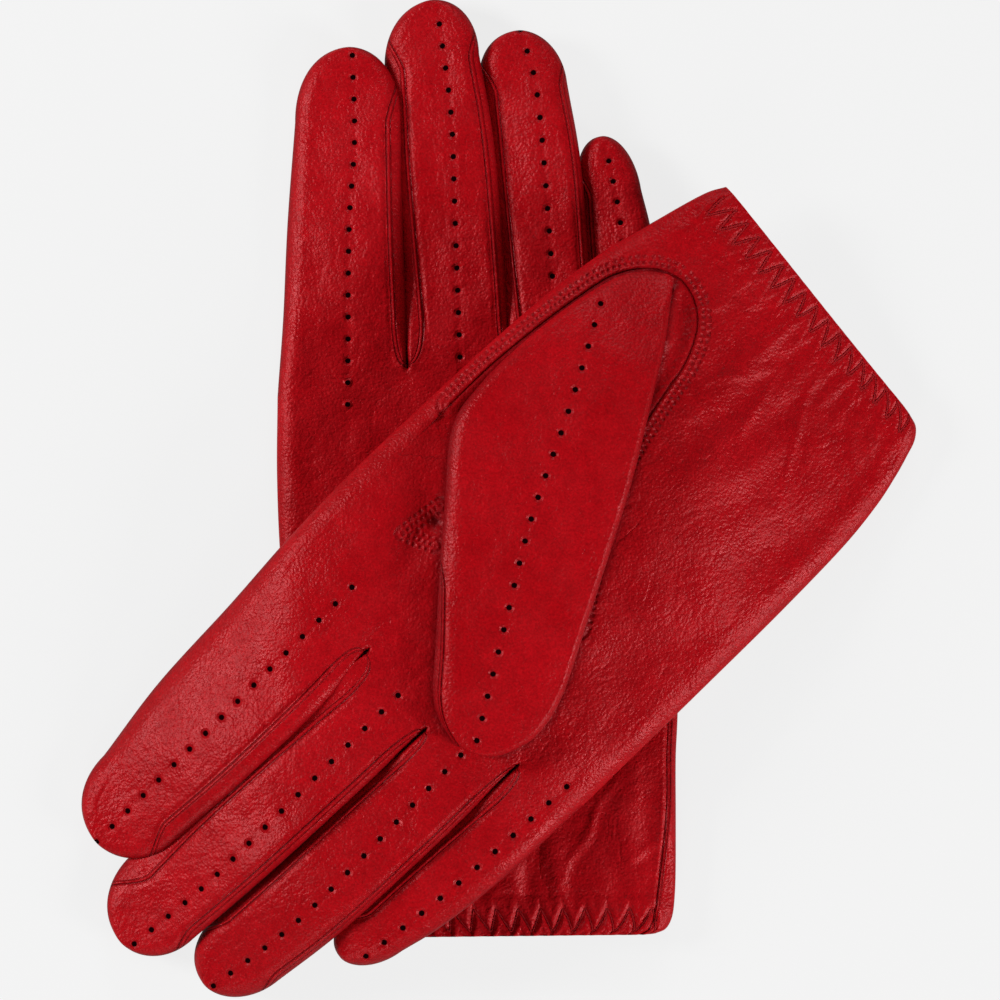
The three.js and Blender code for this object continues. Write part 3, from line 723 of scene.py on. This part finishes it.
@dataclass
class Hand(Part):
    """The hand: one skin of palm and back, with the crotches, the side strip and the thumb's seam."""

    length: float = 140  # from the hem to the crotches
    width: float = 95
    cuff_half: float = 3.3  # half its thickness at the hem
    edge_radius: float = 6.5
    palm_top: np.ndarray | None = None  # points of the finished palm

    def ring_columns(self) -> tuple[np.ndarray, np.ndarray, np.ndarray]:
        """The hand's columns: which finger each belongs to, its place across it, and top or underside."""
        group, place, up = [], [], []
        for g in range(4):
            t = section(TOP)[: None if g == 3 else -1]
            group += [g] * len(t)
            place += list(t)
            up += [1.0] * len(t)
        for g in (3, 2, 1, 0):
            t = section(UNDER)[::-1][1:]
            t = t[:-1] if g == 0 else t
            group += [g] * len(t)
            place += list(t)
            up += [-1.0] * len(t)
        return np.array(group), np.array(place), np.array(up)

    def points(self, v: np.ndarray, group: np.ndarray, place: np.ndarray, up: np.ndarray,
               thin: float = 0.0) -> tuple[np.ndarray, np.ndarray]:
        """Points of the hand's skin.

        Args:
            v: Shares of the way from the hem to the fingers, one for each row.
            group: The finger that each column belongs to.
            place: Its place across that finger, -1 to 1.
            up: 1 for the palm side and -1 for the back.
            thin: How far inside the outer surface the points lie.

        Returns:
            The points, rows x columns x 3, and each point's share of the width.
        """
        fingers = self.lay.fingers
        joints = np.array([f.left[0] for f in fingers] + [fingers[-1].right[0]], float)
        a, b = joints[group], joints[group + 1]
        end = a + (b - a) * ((place + 1) / 2)[:, None]
        share = (end[:, 0] - joints[0, 0]) / (joints[-1, 0] - joints[0, 0])
        straight = joints[0] + (joints[-1] - joints[0]) * share[:, None]
        low, high = self.lay.edges
        left, right = through(low, v), through(high, v)
        run = v[:, None]
        settle = smooth(0.35, 1.0, run) ** 1.5
        flat = (left[:, None] * (1 - share)[None, :, None] + right[:, None] * share[None, :, None]
                + (end - straight)[None] * settle[..., None])
        width = np.linalg.norm(right - left, axis=1)[:, None]
        half = np.linalg.norm(b - a, axis=1)[None] / 2
        from_left, from_right = (place + 1)[None] * half, (1 - place)[None] * half
        close = run**6
        to_low, to_high = share * width, (1 - share) * width
        outer_left = np.where(group == 0, (1 - close) * to_low + close * from_left, to_low)
        outer_right = np.where(group == 3, (1 - close) * to_high + close * from_right, to_high)
        radius = self.edge_radius - 1.5 * close
        outside = rounding(outer_left, radius) * rounding(outer_right, radius)
        valley_left = np.where(group == 0, 1.0, rounding(from_left, SLIT_RADIUS))
        valley_right = np.where(group == 3, 1.0, rounding(from_right, SLIT_RADIUS))
        down = np.linalg.norm(flat - end[None], axis=2)
        shape = outside * (1 - (1 - smooth(0, 2.2, down)) * (1 - valley_left * valley_right))
        # The knuckles' soft dips between the roots of the fingers.
        dip_left = np.where(group == 0, 0.0, bell(from_left, 4.5))
        dip_right = np.where(group == 3, 0.0, bell(from_right, 4.5))
        shape = shape * (1 - 0.13 * bell(down, 16) * smooth(0, 2.5, down) * (dip_left + dip_right))
        high_half = self.cuff_half + (FINGER_HALF - self.cuff_half) * smooth(0.02, 0.35, run)
        share = share[None] + 0 * run
        detail = self.detail(flat[..., 0], flat[..., 1], share, run * self.length, up[None])
        z = MIDDLE_HEIGHT + up[None] * ((high_half - thin) * shape) + detail * np.minimum(shape, 1)
        z = np.maximum(z, FLOOR_GAP + thin)
        return np.concatenate([flat, z[..., None]], -1), share

    def detail(self, x: np.ndarray, y: np.ndarray, share: np.ndarray, hem: np.ndarray,
               up: np.ndarray) -> np.ndarray:
        """The relief of the hand: gathers at the elastic, puckered seams and wrinkles.

        Args:
            x: First coordinates in the pattern.
            y: Second coordinates.
            share: Share of the way from the pinky edge to the thumb edge.
            hem: Distance from the hem.
            up: 1 for the palm side and -1 for the back.

        Returns:
            The height to add, in millimetres.
        """
        palm = (up > 0).astype(float)
        height = self.relief(x, y) * (0.35 + 0.65 * palm)
        height = height + palm * (self.gathers(x, y, share, hem) + self.thumb_relief(x, y))
        # The turned hem, with its inner edge showing through.
        height = height + 0.3 * (1 - smooth(0.5, 12.5, hem)) - 0.14 * bell(hem - 13.0, 0.9)
        # The strip along the pinky side.
        edge = share * self.width - self.strip(hem)
        strip = 0.34 * bell(edge + 1.3, 0.9) - 0.45 * bell(edge, 0.55) + 0.2 * bell(edge - 1.2, 0.6)
        height = height + self.lay.side_strip * strip
        _, _, off = self.row_pattern(x, y, self.lay.fingers)
        return height - palm * 0.12 * bell(off, 0.9) * (y > 126)

    def gathers(self, x: np.ndarray, y: np.ndarray, share: np.ndarray, hem: np.ndarray) -> np.ndarray:
        """What the elastic does to the cuff: gathers, long soft wrinkles and the pressed-in zigzag.

        Args:
            x: First coordinates in the pattern.
            y: Second coordinates.
            share: Share of the way from the pinky edge to the thumb edge.
            hem: Distance from the hem.

        Returns:
            The height to add on the palm side, in millimetres.
        """
        seed = self.lay.seed
        phase = self.zigzag_phase(share)
        beat = phase * 2 * math.pi
        patchy = 0.6 + 0.6 * waves(x, y, 20, seed + 7)
        drift = 0.8 * waves(x, y, 22, seed + 5)
        low, high = ZIGZAG_HEM
        # Gathers start at the corners of the zigzag and fade up the palm.
        height = -0.13 * np.cos(beat + drift * smooth(8, 22, hem)) * patchy * bell(hem - 14, 7.5)
        height = height + 0.1 * np.cos(beat) * bell(hem - low, 4)
        long = (0.42 + 0.25 * self.lay.side_strip) * waves(x, y * 0.22, 12, seed + 6)
        height = height + long * smooth(8, 18, hem) * (1 - smooth(26, 66, hem))
        for path, rise in WRINKLES:
            line = through(path, np.linspace(0, 1, 12))
            run, off = distance_along(line, x + 0.7 * waves(x, y, 14, seed + 9), y)
            ends = smooth(0, 8, run) * (1 - smooth(0.55, 1.0, run / np.max(run)))
            height = height + rise * (bell(off, 1.1) - 0.5 * bell(off - 2.2, 1.6)) * ends
        # The groove that the zigzag presses in, with a ridge on each side of it.
        pull = hem - (low + (high - low) * (1 - np.abs(2 * (phase % 1) - 1)))
        away = np.abs(pull) / math.hypot(1, (high - low) / 2.7)
        stitched = (phase > 0) & (phase < self.lay.turns)
        firm = 1.0 if self.lay.side is Side.LEFT else 0.6
        pressed = firm * (0.42 * bell(away - 1.5, 1.0) - 0.7 * bell(away, 0.7))
        return height + stitched * pressed * bell(hem - 5.4, 6.5)

    def thumb_relief(self, x: np.ndarray, y: np.ndarray) -> np.ndarray:
        """The palm's relief round the thumb: its puckered seam, its quirk and the hollows beside them.

        Args:
            x: First coordinates in the pattern.
            y: Second coordinates.

        Returns:
            The height to add on the palm side, in millimetres.
        """
        run, side = self.thumb_seam(x, y)
        height = 0.22 * bell(side + 0.7, 0.6) - 0.3 * bell(side, 0.5) - 0.14 * bell(side + 2.2, 1.0)
        swell = np.sin(2 * math.pi * run / 4.1 + 0.9 * waves(x, y, 9, self.lay.seed + 8))
        height = height + 0.1 * swell * bell(side + 2.6, 2.2) - 0.9 * bell(side - 3.6, 2.6)
        # The leather under the thumb's fold, which rises to it from the seam.
        _, off = distance_along(np.array([(28.2, 24.6), (20.5, 35.0)]), x, y)
        height = height + 1.3 * bell(off, 1.5)
        # The hollow at the point of the thumb's quirk, and the valley that runs from it.
        _, off = distance_along(np.array([QUIRK_HOLLOW, (24.0, 122.0)]), x, y)
        hollow = np.hypot(x - QUIRK_HOLLOW[0], y - QUIRK_HOLLOW[1])
        return height - 0.9 * bell(off, 4.0) - 1.3 * bell(hollow, 1.9)

    def zigzag_phase(self, share: np.ndarray) -> np.ndarray:
        """How many turns of the zigzag lie between the pinky edge and a share of the width."""
        return (share - ZIGZAG_START) / ZIGZAG_SPAN * self.lay.turns

    def strip(self, hem: np.ndarray) -> np.ndarray:
        """How wide the strip along the pinky side is at a distance from the hem."""
        return 2.3 + 3.6 * (1 - smooth(0, 42, hem))

    def thumb_seam(self, x: np.ndarray, y: np.ndarray) -> tuple[np.ndarray, np.ndarray]:
        """Distance along the thumb's seam, and across it, positive towards the thumb."""
        run, side = distance_along(through(THUMB_SEAM, np.linspace(0, 1, 60)), x, y)
        return run, -side

    def stitch_map(self, x: np.ndarray, y: np.ndarray) -> tuple[np.ndarray, np.ndarray]:
        """Along and across the stitched seams of the thumb and of its quirk, whichever is nearer."""
        run, side = self.thumb_seam(x, y)
        for a, b in ((QUIRK[1], QUIRK[0]), (QUIRK[1], QUIRK[2])):
            along, off = distance_along(np.array([a, b], float), x, y)
            near = np.abs(off) + 1.7 < np.abs(side)
            run, side = np.where(near, along, run), np.where(near, -np.abs(off) - 1.7, side)
        return run, side

    def seams(self, x: np.ndarray, y: np.ndarray, share: np.ndarray, hem: np.ndarray) -> np.ndarray:
        """The distance to the hand's nearest plain seam, a crotch's or the side's.

        Args:
            x: First coordinates.
            y: Second coordinates.
            share: Share of the way from the pinky edge to the thumb edge.
            hem: Distance from the hem.

        Returns:
            The signed distance, within the reach that the leather looks at.
        """
        seam = np.full(x.shape, float(SEAM_REACH[1]))
        if self.lay.side_strip:
            seam = share * self.width - self.strip(hem)
        for finger in self.lay.fingers[1:]:
            cx, cy = finger.left[0]
            seam = np.minimum(seam, np.hypot(x - cx, y - cy) - SEAM_START)
        return np.clip(seam, *SEAM_REACH)

    def build(self) -> None:
        """The hand: palm and back in one skin, open at the cuff and turned in at the hem."""
        group, place, up = self.ring_columns()
        count = int(143 / self.row_step)
        v = np.concatenate([np.linspace(0, 0.11, 30)[:-1], np.linspace(0.11, 0.965, count - 22)[:-1],
                            np.linspace(0.965, 1, 12)])
        outer, share = self.points(v, group, place, up)
        inside_v = np.array([0.30, 0.2, 0.12, 0.07, 0.035, 0.012, 0.002])
        inner, _ = self.points(inside_v, group, place, up, thin=0.9)
        lip, _ = self.points(np.array([0.0]), group, place, up, thin=0.45)
        along = np.array([[0.0, -0.35, 0.0]])
        deep, closed = inner[:1].copy(), outer[-1:].copy()
        deep[..., 2] = closed[..., 2] = MIDDLE_HEIGHT
        rings = np.concatenate([deep, inner, lip + along, outer, closed])
        before = len(inner) + 2
        x, y = rings[..., 0], rings[..., 1]
        hem = np.concatenate([np.full(before, 9.0), v * self.length, [self.length]])[:, None]
        palm = (up > 0)[None].astype(float)
        rows, punched, _ = self.row_pattern(x, y, self.lay.fingers)
        run, side = self.stitch_map(x, y)
        # Painted shade in the hollow at the point of the thumb's quirk.
        crease = 0.95 * palm * bell(np.hypot(x - QUIRK_HOLLOW[0], y - QUIRK_HOLLOW[1]), 1.7)
        # Painted shade in the fold all round the thumb, where the folded thumb shades the palm.
        for line in (THUMB.left, THUMB.right):
            _, off = distance_along(through(line, np.linspace(0, 1, 24)), x, y)
            crease = np.maximum(crease, 0.6 * palm * bell(off, 1.5))
        # Painted shade over the leather turned inside the hem.
        crease[:before] = 0.7
        self.palm_top = outer[:, up > 0].reshape(-1, 3)
        side_name = self.lay.side.value
        seam = self.seams(x, y, share[:1] + 0 * x, hem + 0 * x)
        made = Skin(
            f"{side_name}_hand_skin", rings, crease, seam, rows, np.stack([run, side + 40 * (1 - palm)], -1),
            punched * palm * (y > 122), (len(rings) - 2,),
        ).build(self.lay, self.leather)
        parts = ("hand_trank", "crotch_gusset_index_middle", "crotch_gusset_middle_ring",
                 "crotch_gusset_ring_pinky", "side_seam_welt", "thumb_welt", "thumb_quirk")
        self.stand_for(made, [f"{side_name}_{part}" for part in parts], "red_leather")
        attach(made, f"{side_name}_hand")

    def on_palm(self, x: np.ndarray, y: np.ndarray) -> np.ndarray:
        """The height of the palm's surface at points of the hand frame."""
        grid = self.palm_top
        out = []
        for a, b in zip(np.ravel(x), np.ravel(y)):
            d = (grid[:, 0] - a) ** 2 + (grid[:, 1] - b) ** 2
            near = np.argpartition(d, 4)[:4]
            w = 1 / (d[near] + 1e-3)
            out.append(float((grid[near, 2] * w).sum() / w.sum()))
        return np.array(out)


@dataclass(kw_only=True)
class Finger(Part):
    """A finger: one skin of sleeve and side strips."""

    pattern: FingerPattern
    edge_radius: float = 5.0
    roll: float = 2.3  # how far it turns to its thumb side

    def build(self) -> None:
        """One finger: a flattened tube with a seam beside each side strip, closed at its tip."""
        finger = self.pattern
        count = int(np.linalg.norm(np.subtract(finger.left[-1], finger.left[0])) / self.row_step)
        near = 14
        share = np.concatenate([np.linspace(0, 0.06, near)[:-1], np.linspace(0.06, 1, count - 4)])
        left, right = through(finger.left, share), through(finger.right, share)
        middle, half = (left[-1] + right[-1]) / 2, (right[-1] - left[-1]) / 2
        reach = np.array(finger.tip) - middle
        turn = np.linspace(0, math.pi / 2, 34)[1:]
        cap = middle + reach * np.sin(turn)[:, None]
        narrow = (1 - np.sin(turn) ** 2.1)[:, None].clip(0) ** (1 / 2.1)
        straight = len(left)
        left, right = np.vstack([left, cap - half * narrow]), np.vstack([right, cap + half * narrow])
        place = np.concatenate([section(FINGER_TOP), section(UNDER)[::-1][1:-1]])
        up = np.concatenate([np.ones(FINGER_TOP + 1), -np.ones(UNDER - 1)])
        flat = (left + right)[:, None] / 2 + (right - left)[:, None] / 2 * place[None, :, None]
        width = np.linalg.norm(right - left, axis=1)[:, None] / 2
        from_left, from_right = (place + 1)[None] * width, (1 - place)[None] * width
        run = np.linalg.norm((left + right) / 2 - (left[0] + right[0]) / 2, axis=1)[:, None]
        slit = SLIT_RADIUS + (self.edge_radius - SLIT_RADIUS) * smooth(0, 26, run)
        shape = rounding(from_left, slit if finger.name != "pinky" else self.edge_radius)
        shape = shape * rounding(from_right, slit if finger.name != "index" else self.edge_radius)
        tip_fade = 1 - smooth(straight - 4, straight + 18, np.arange(len(left)))[:, None]
        roll = self.roll * smooth(2, 26, run) * (0.35 + 0.65 * tip_fade)
        x, y = flat[..., 0], flat[..., 1]
        palm = (up > 0)[None].astype(float)
        height = self.relief(x, y) * (0.35 + 0.65 * palm)
        seam = np.full(x.shape, float(SEAM_REACH[1]))
        rise = np.sqrt(1 - (1 - np.clip(run / 12, 0, 1)) ** 2)
        for side, inset in finger.seams:
            # The seam runs off over the edge just short of the tip.
            inset = (SEAM_START + (inset - SEAM_START) * rise) * tip_fade - 2.5 * (1 - tip_fade)
            edge = (from_left if side < 0 else from_right) - inset
            seam = np.minimum(seam, edge)
            ridge = 0.32 * bell(edge + 0.5, 0.55) - 0.34 * bell(edge - 0.5, 0.6)
            height = height + smooth(3, 14, run) * ridge
        rows, punched, off = self.row_pattern(x, y, [finger])
        height = height - palm * 0.12 * bell(off, 0.9)
        folds = creases(x * 0.5, y, 9, self.lay.seed + 12 + len(finger.name), 0.35)
        height = height - palm * 0.12 * folds * smooth(4, 20, run)
        z = MIDDLE_HEIGHT - roll * place[None] + up[None] * FINGER_HALF * shape
        z = z + height * np.minimum(1, shape)
        z = np.maximum(z, FLOOR_GAP)
        rings = np.concatenate([flat, z[..., None]], -1)
        rings = first_twice(rings)
        rings[0, :, 2] = MIDDLE_HEIGHT
        # Painted shade along both edges of the finger, where it turns under.
        crease = 0.5 * bell(np.minimum(from_left, from_right), 0.8)
        seam = np.clip(seam, *SEAM_REACH)
        made = Skin(
            f"{self.lay.side.value}_{finger.name}_skin", rings, first_twice(crease), first_twice(seam),
            first_twice(rows), None, first_twice(punched) * palm, (1,),
        ).build(self.lay, self.leather)
        self.bend(made)

    def bend(self, made: bpy.types.Object) -> None:
        """Lets a finger's skin stand for the finger's CAD pieces and bakes its place into its mesh; the
        points along its hinge are worked out but not used.
        """
        side = self.lay.side.value
        finger = self.pattern
        joint = next(j for j in frame["joints"] if j["name"] == f"{side}_{finger.name}_curl")
        base = (np.array(finger.left[0]) + finger.right[0]) / 2
        along = np.array(finger.tip) - base
        along /= np.hypot(*along)
        places = [self.lay.place(base + along * s, joint["pos_m"][2]) for s in finger.bend]
        nodes = [n for n in frame["nodes"] if n.startswith(f"{side}_{finger.name}_")]
        self.stand_for(made, nodes, "red_leather")
        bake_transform(made)


@dataclass
class Thumb(Part):
    """The thumb, which lies folded across the palm."""

    half: float = 3.4  # half its thickness
    fold_radius: float = 1.8
    far_radius: tuple[float, float] = (2.2, 5.0)  # of its other edge, and how much that grows to the tip

    def build(self) -> None:
        """The thumb, folded across the palm: crisp along its fold and rounder on its other side."""
        share = np.linspace(0, 1, int(150 / self.row_step))
        share = 0.5 * share + 0.5 * np.sin(share * math.pi / 2)
        left, right = through(THUMB.left, share), through(THUMB.right, share)
        left[-1] = right[-1] = THUMB.tip
        columns = FINGER_TOP + 10
        place = np.concatenate([section(columns), section(UNDER + 8)[::-1][1:-1]])
        up = np.concatenate([np.ones(columns + 1), -np.ones(UNDER + 7)])
        flat = (left + right)[:, None] / 2 + (right - left)[:, None] / 2 * place[None, :, None]
        width = np.linalg.norm(right - left, axis=1)[:, None] / 2
        from_left, from_right = (place + 1)[None] * width, (1 - place)[None] * width
        run = np.linalg.norm((left + right) / 2 - (left[0] + right[0]) / 2, axis=1)[:, None]
        tip = np.sqrt(np.clip(1 - (1 - np.clip(width / 9, 0, 1)) ** 2, 0, 1))
        soft = self.far_radius[0] + self.far_radius[1] * smooth(40, 100, run)
        most = width + 0.01
        shape = rounding(from_left, np.minimum(self.fold_radius, most))
        shape = shape * rounding(from_right, np.minimum(soft, most))
        shape = shape * np.where(run > 60, tip, 1.0)
        tall = self.half * smooth(0, 26, run) + 0.4
        x, y = flat[..., 0], flat[..., 1]
        palm = (up > 0)[None].astype(float)
        seed = self.lay.seed + 70
        height = 0.4 * waves(x, y, 32, seed, 1.5) + 0.15 * waves(x, y, 11, seed + 1)
        height = height - 0.14 * creases(x, y, 15, seed + 2) - 0.07 * creases(x, y, 7, seed + 3)
        rows, punched, off = self.row_pattern(x, y, [THUMB])
        height = height - palm * 0.12 * bell(off, 0.9)
        # A double seam comes round from the underside along the far edge, close to the tip.
        edge = from_right - 1.6 - 1.2 * smooth(85, 118, run)
        beside = smooth(78, 100, run) * (1 - smooth(0.985, 1.0, share)[:, None])
        height = height + beside * (0.25 * bell(edge + 1.0, 0.6) - 0.25 * bell(edge, 0.6))
        seam = np.clip(edge + (1 - beside) * SEAM_REACH[1], *SEAM_REACH)
        lean = (1.2 - 0.4 * smooth(30, 100, run)) * place[None] * np.where(run > 60, tip, 1.0)
        lying = 2 * MIDDLE_HEIGHT + 0.1
        z = lying + tall - lean + up[None] * tall * shape + height * np.minimum(1, shape) * smooth(0, 14, run)
        rings = np.concatenate([flat, z[..., None]], -1)
        rings = first_twice(rings)
        rings[0, :, 2] = z[:1].mean()
        # Painted shade along the thumb's far edge towards its tip, and thinly along its fold, where it meets
        # the palm.
        crease = palm * (0.65 * bell(from_right, 1.5) * smooth(30, 60, run) + 0.4 * bell(from_left, 0.6))
        made = Skin(
            f"{self.lay.side.value}_thumb_skin", rings, first_twice(crease), first_twice(seam),
            first_twice(rows), None, first_twice(punched) * palm,
        ).build(self.lay, self.leather)
        side = self.lay.side.value
        self.stand_for(made, [f"{side}_thumb_root", f"{side}_thumb_tip"], "red_leather")
        if self.lay.side is Side.LEFT:
            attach(made, "left_hand")
        else:
            joint = next(j for j in frame["joints"] if j["name"] == "right_thumb_curl")
            places = [self.lay.place(THUMB_BASE + THUMB_WAY * s, joint["pos_m"][2]) for s in THUMB_BEND]
            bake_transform(made)


@dataclass(kw_only=True)
class Cuff(Part):
    """The trimmings of the hem: zigzag stitching, and the elastic that it holds inside."""

    hand: Hand
    thread: bpy.types.Material
    elastic: bpy.types.Material
    thread_radius: float = 0.22
    elastic_hem: tuple[float, float] = (3.0, 11.0)  # where its edges are, from the hem
    elastic_depth: tuple[float, float] = (1.2, 1.7)  # its two faces, under the leather's surface

    def cord(self, name: str, points: np.ndarray, radius: float,
             material: bpy.types.Material) -> bpy.types.Object:
        """A thread along points of the hand frame.

        Args:
            name: The piece's name.
            points: Its centreline, points x 3.
            radius: Half its width.
            material: What it is made of.

        Returns:
            The finished object.
        """
        around = 8
        step = np.gradient(points, axis=0)
        step /= np.linalg.norm(step, axis=1)[:, None]
        side = np.cross(step, [0, 0, 1.0])
        side /= np.linalg.norm(side, axis=1)[:, None]
        rise = np.cross(side, step)
        angle = np.linspace(0, 2 * math.pi, around, endpoint=False)
        ring = (points[:, None] + radius * np.cos(angle)[None, :, None] * side[:, None]
                + radius * np.sin(angle)[None, :, None] * rise[:, None])
        ends = [np.repeat(points[i, None, None], around, 1) for i in (0, -1)]
        ring = np.concatenate([ends[0], ring, ends[1]])
        return Skin(name, ring).build(self.lay, material)

    def build_zigzag(self) -> None:
        """The zigzag stitching over the elastic."""
        low, high = self.lay.edges
        side = self.lay.side.value
        corners = np.arange(0.06, 2 * self.lay.turns - 0.05, 1 / 16)
        across = ZIGZAG_START + ZIGZAG_SPAN * corners / (2 * self.lay.turns)
        hem = ZIGZAG_HEM[0] + (ZIGZAG_HEM[1] - ZIGZAG_HEM[0]) * (1 - np.abs(corners % 2 - 1))
        v = hem / self.hand.length
        left, right = through(low, v), through(high, v)
        flat = left * (1 - across)[:, None] + right * across[:, None]
        z = self.hand.on_palm(flat[:, 0], flat[:, 1])
        cut = np.abs(corners % 1 - 0.5) * 2  # the thread dips where it goes in at each corner
        points = np.column_stack([flat, z + 0.12 - 0.3 * smooth(0.8, 1.0, cut)])
        made = self.cord(f"{side}_cuff_zigzag", points, self.thread_radius, self.thread)
        self.stand_for(made, [f"{side}_cuff_zigzag_thread"], "sewing_thread")
        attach(made, f"{side}_hand")

    def build_elastic(self) -> None:
        """The elastic web inside the hem, a flat strip with a tapered end on each side."""
        low, high = self.lay.edges
        side = self.lay.side.value
        share = np.linspace(0.08, 0.92, 60)
        rings = []
        (near, far), (top, bottom) = self.elastic_hem, self.elastic_depth
        for hem_at, rise in ((near, -top), (far, -top), (far, -bottom), (near, -bottom)):
            v = np.full(share.shape, hem_at / self.hand.length)
            flat = through(low, v) * (1 - share)[:, None] + through(high, v) * share[:, None]
            rings.append(np.column_stack([flat, self.hand.on_palm(flat[:, 0], flat[:, 1]) + rise]))
        ring = np.stack(rings, 1)
        ends = [np.repeat(ring[i].mean(0)[None, None], 4, 1) for i in (0, -1)]
        ring = np.concatenate([ends[0], ring, ends[1]])
        made = Skin(f"{side}_cuff_elastic_web", ring).build(self.lay, self.elastic)
        self.stand_for(made, [f"{side}_cuff_elastic"], "elastic_webbing")
        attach(made, f"{side}_hand")

    def build(self) -> None:
        """Builds the stitching and the elastic."""
        self.build_zigzag()
        self.build_elastic()


@dataclass
class Glove:
    """One glove, from its hand to the trimmings of its cuff."""

    lay: Lay
    leather: bpy.types.Material
    thread: bpy.types.Material
    elastic: bpy.types.Material

    def build(self) -> None:
        """Builds every piece of the glove."""
        hand = Hand(self.lay, self.leather)
        hand.build()
        for pattern in self.lay.fingers:
            Finger(self.lay, self.leather, pattern=pattern).build()
        Thumb(self.lay, self.leather).build()
        Cuff(self.lay, self.leather, hand=hand, thread=self.thread, elastic=self.elastic).build()
        LOG.info("the %s glove is built", self.lay.side.value)


# ---- the studio ----
@dataclass(frozen=True)
class Lamp:
    """One soft box: where it hangs, in metres, its width and its power."""

    name: str
    at: tuple[float, float, float]
    size: float
    power: float

    def build(self) -> None:
        """Hangs the lamp, turned to the gloves."""
        bpy.ops.object.light_add(type="AREA", location=self.at)
        lamp = bpy.context.object
        lamp.name = self.name
        lamp.data.size = self.size
        lamp.data.energy = self.power
        lamp.rotation_euler = (-Vector(self.at)).to_track_quat("-Z", "Y").to_euler()


@dataclass(frozen=True)
class Paper:
    """Matt paper that glows: it looks even and pale to the lens, and gives the gloves little light."""

    name: str = "white_paper"
    body: str = "#505050"
    glow: tuple[float, float] = (0.15, 0.80)  # what it gives the gloves, and how bright it looks

    def build(self) -> bpy.types.Material:
        """The material."""
        paper = bpy.data.materials.new(self.name)
        paper.use_nodes = True
        tree = paper.node_tree
        tree.nodes.clear()
        seen = add_node(tree, "LightPath").outputs["Is Camera Ray"]
        glow = add_node(tree, "MapRange", {"Value": seen, "From Min": 0.0, "From Max": 1.0,
                                           "To Min": self.glow[0], "To Max": self.glow[1]})
        shader = add_node(tree, "BsdfPrincipled", {"Base Color": linear(self.body), "Roughness": 0.9,
                                                   "Emission Color": (1, 1, 1, 1),
                                                   "Emission Strength": glow.outputs["Result"]})
        out = add_node(tree, "OutputMaterial")
        tree.links.new(shader.outputs["BSDF"], out.inputs["Surface"])
        return paper


@dataclass
class Studio:
    """A pale floor, four soft lamps and a long lens straight over the pair."""

    lens_height: float = 0.870
    lens: float = 120
    sky: float = 0.07
    lamps: tuple[Lamp, ...] = (
        Lamp("low_right", (1.05, -0.6, 0.55), 0.45, 13.0), Lamp("left", (-1.1, 0.25, 0.62), 0.4, 13.0),
        Lamp("top", (0.15, 1.15, 0.6), 0.5, 5.0), Lamp("bottom", (-0.2, -1.2, 0.6), 0.5, 4.5),
    )

    def build_floor(self, paper: bpy.types.Material) -> None:
        """The floor, just under the gloves."""
        select_nothing()
        bpy.ops.mesh.primitive_plane_add(size=6, location=(0, 0, -0.0004))
        floor = bpy.context.object
        floor.name = "floor"
        floor.data.materials.append(paper)

    def build_sky(self) -> None:
        """An even, faint light from all round."""
        world = bpy.data.worlds.new("studio")
        bpy.context.scene.world = world
        world.use_nodes = True
        background = world.node_tree.nodes["Background"]
        background.inputs["Color"].default_value = (1, 1, 1, 1)
        background.inputs["Strength"].default_value = self.sky

    def build_camera(self) -> None:
        """The camera, which looks straight down."""
        bpy.ops.object.camera_add(location=(OFFSET[0] * MM, OFFSET[1] * MM, self.lens_height))
        camera = bpy.context.object
        camera.data.lens = self.lens
        camera.data.sensor_width = 36
        camera.data.clip_end = 10
        bpy.context.scene.camera = camera
        bpy.context.scene.view_settings.view_transform = "Standard"

    def build(self) -> None:
        """Builds the whole studio."""
        self.build_floor(Paper().build())
        self.build_sky()
        for lamp in self.lamps:
            lamp.build()
        self.build_camera()
        LOG.info("studio: %d lamps", len(self.lamps))


def main() -> None:
    """Builds both gloves and the studio."""
    logging.basicConfig(level=logging.INFO, format="%(message)s")
    leather = Leather().build()
    thread = Textile("polyester_thread", "#A80A14", "#8C0710", 0.35).build()
    elastic = Textile("elastic_web", "#5C1016", "#3A090D", 0.6).build()
    for lay in (LEFT, RIGHT):
        Glove(lay, leather, thread, elastic).build()
    Studio().build()


if __name__ == "__main__":
    main()
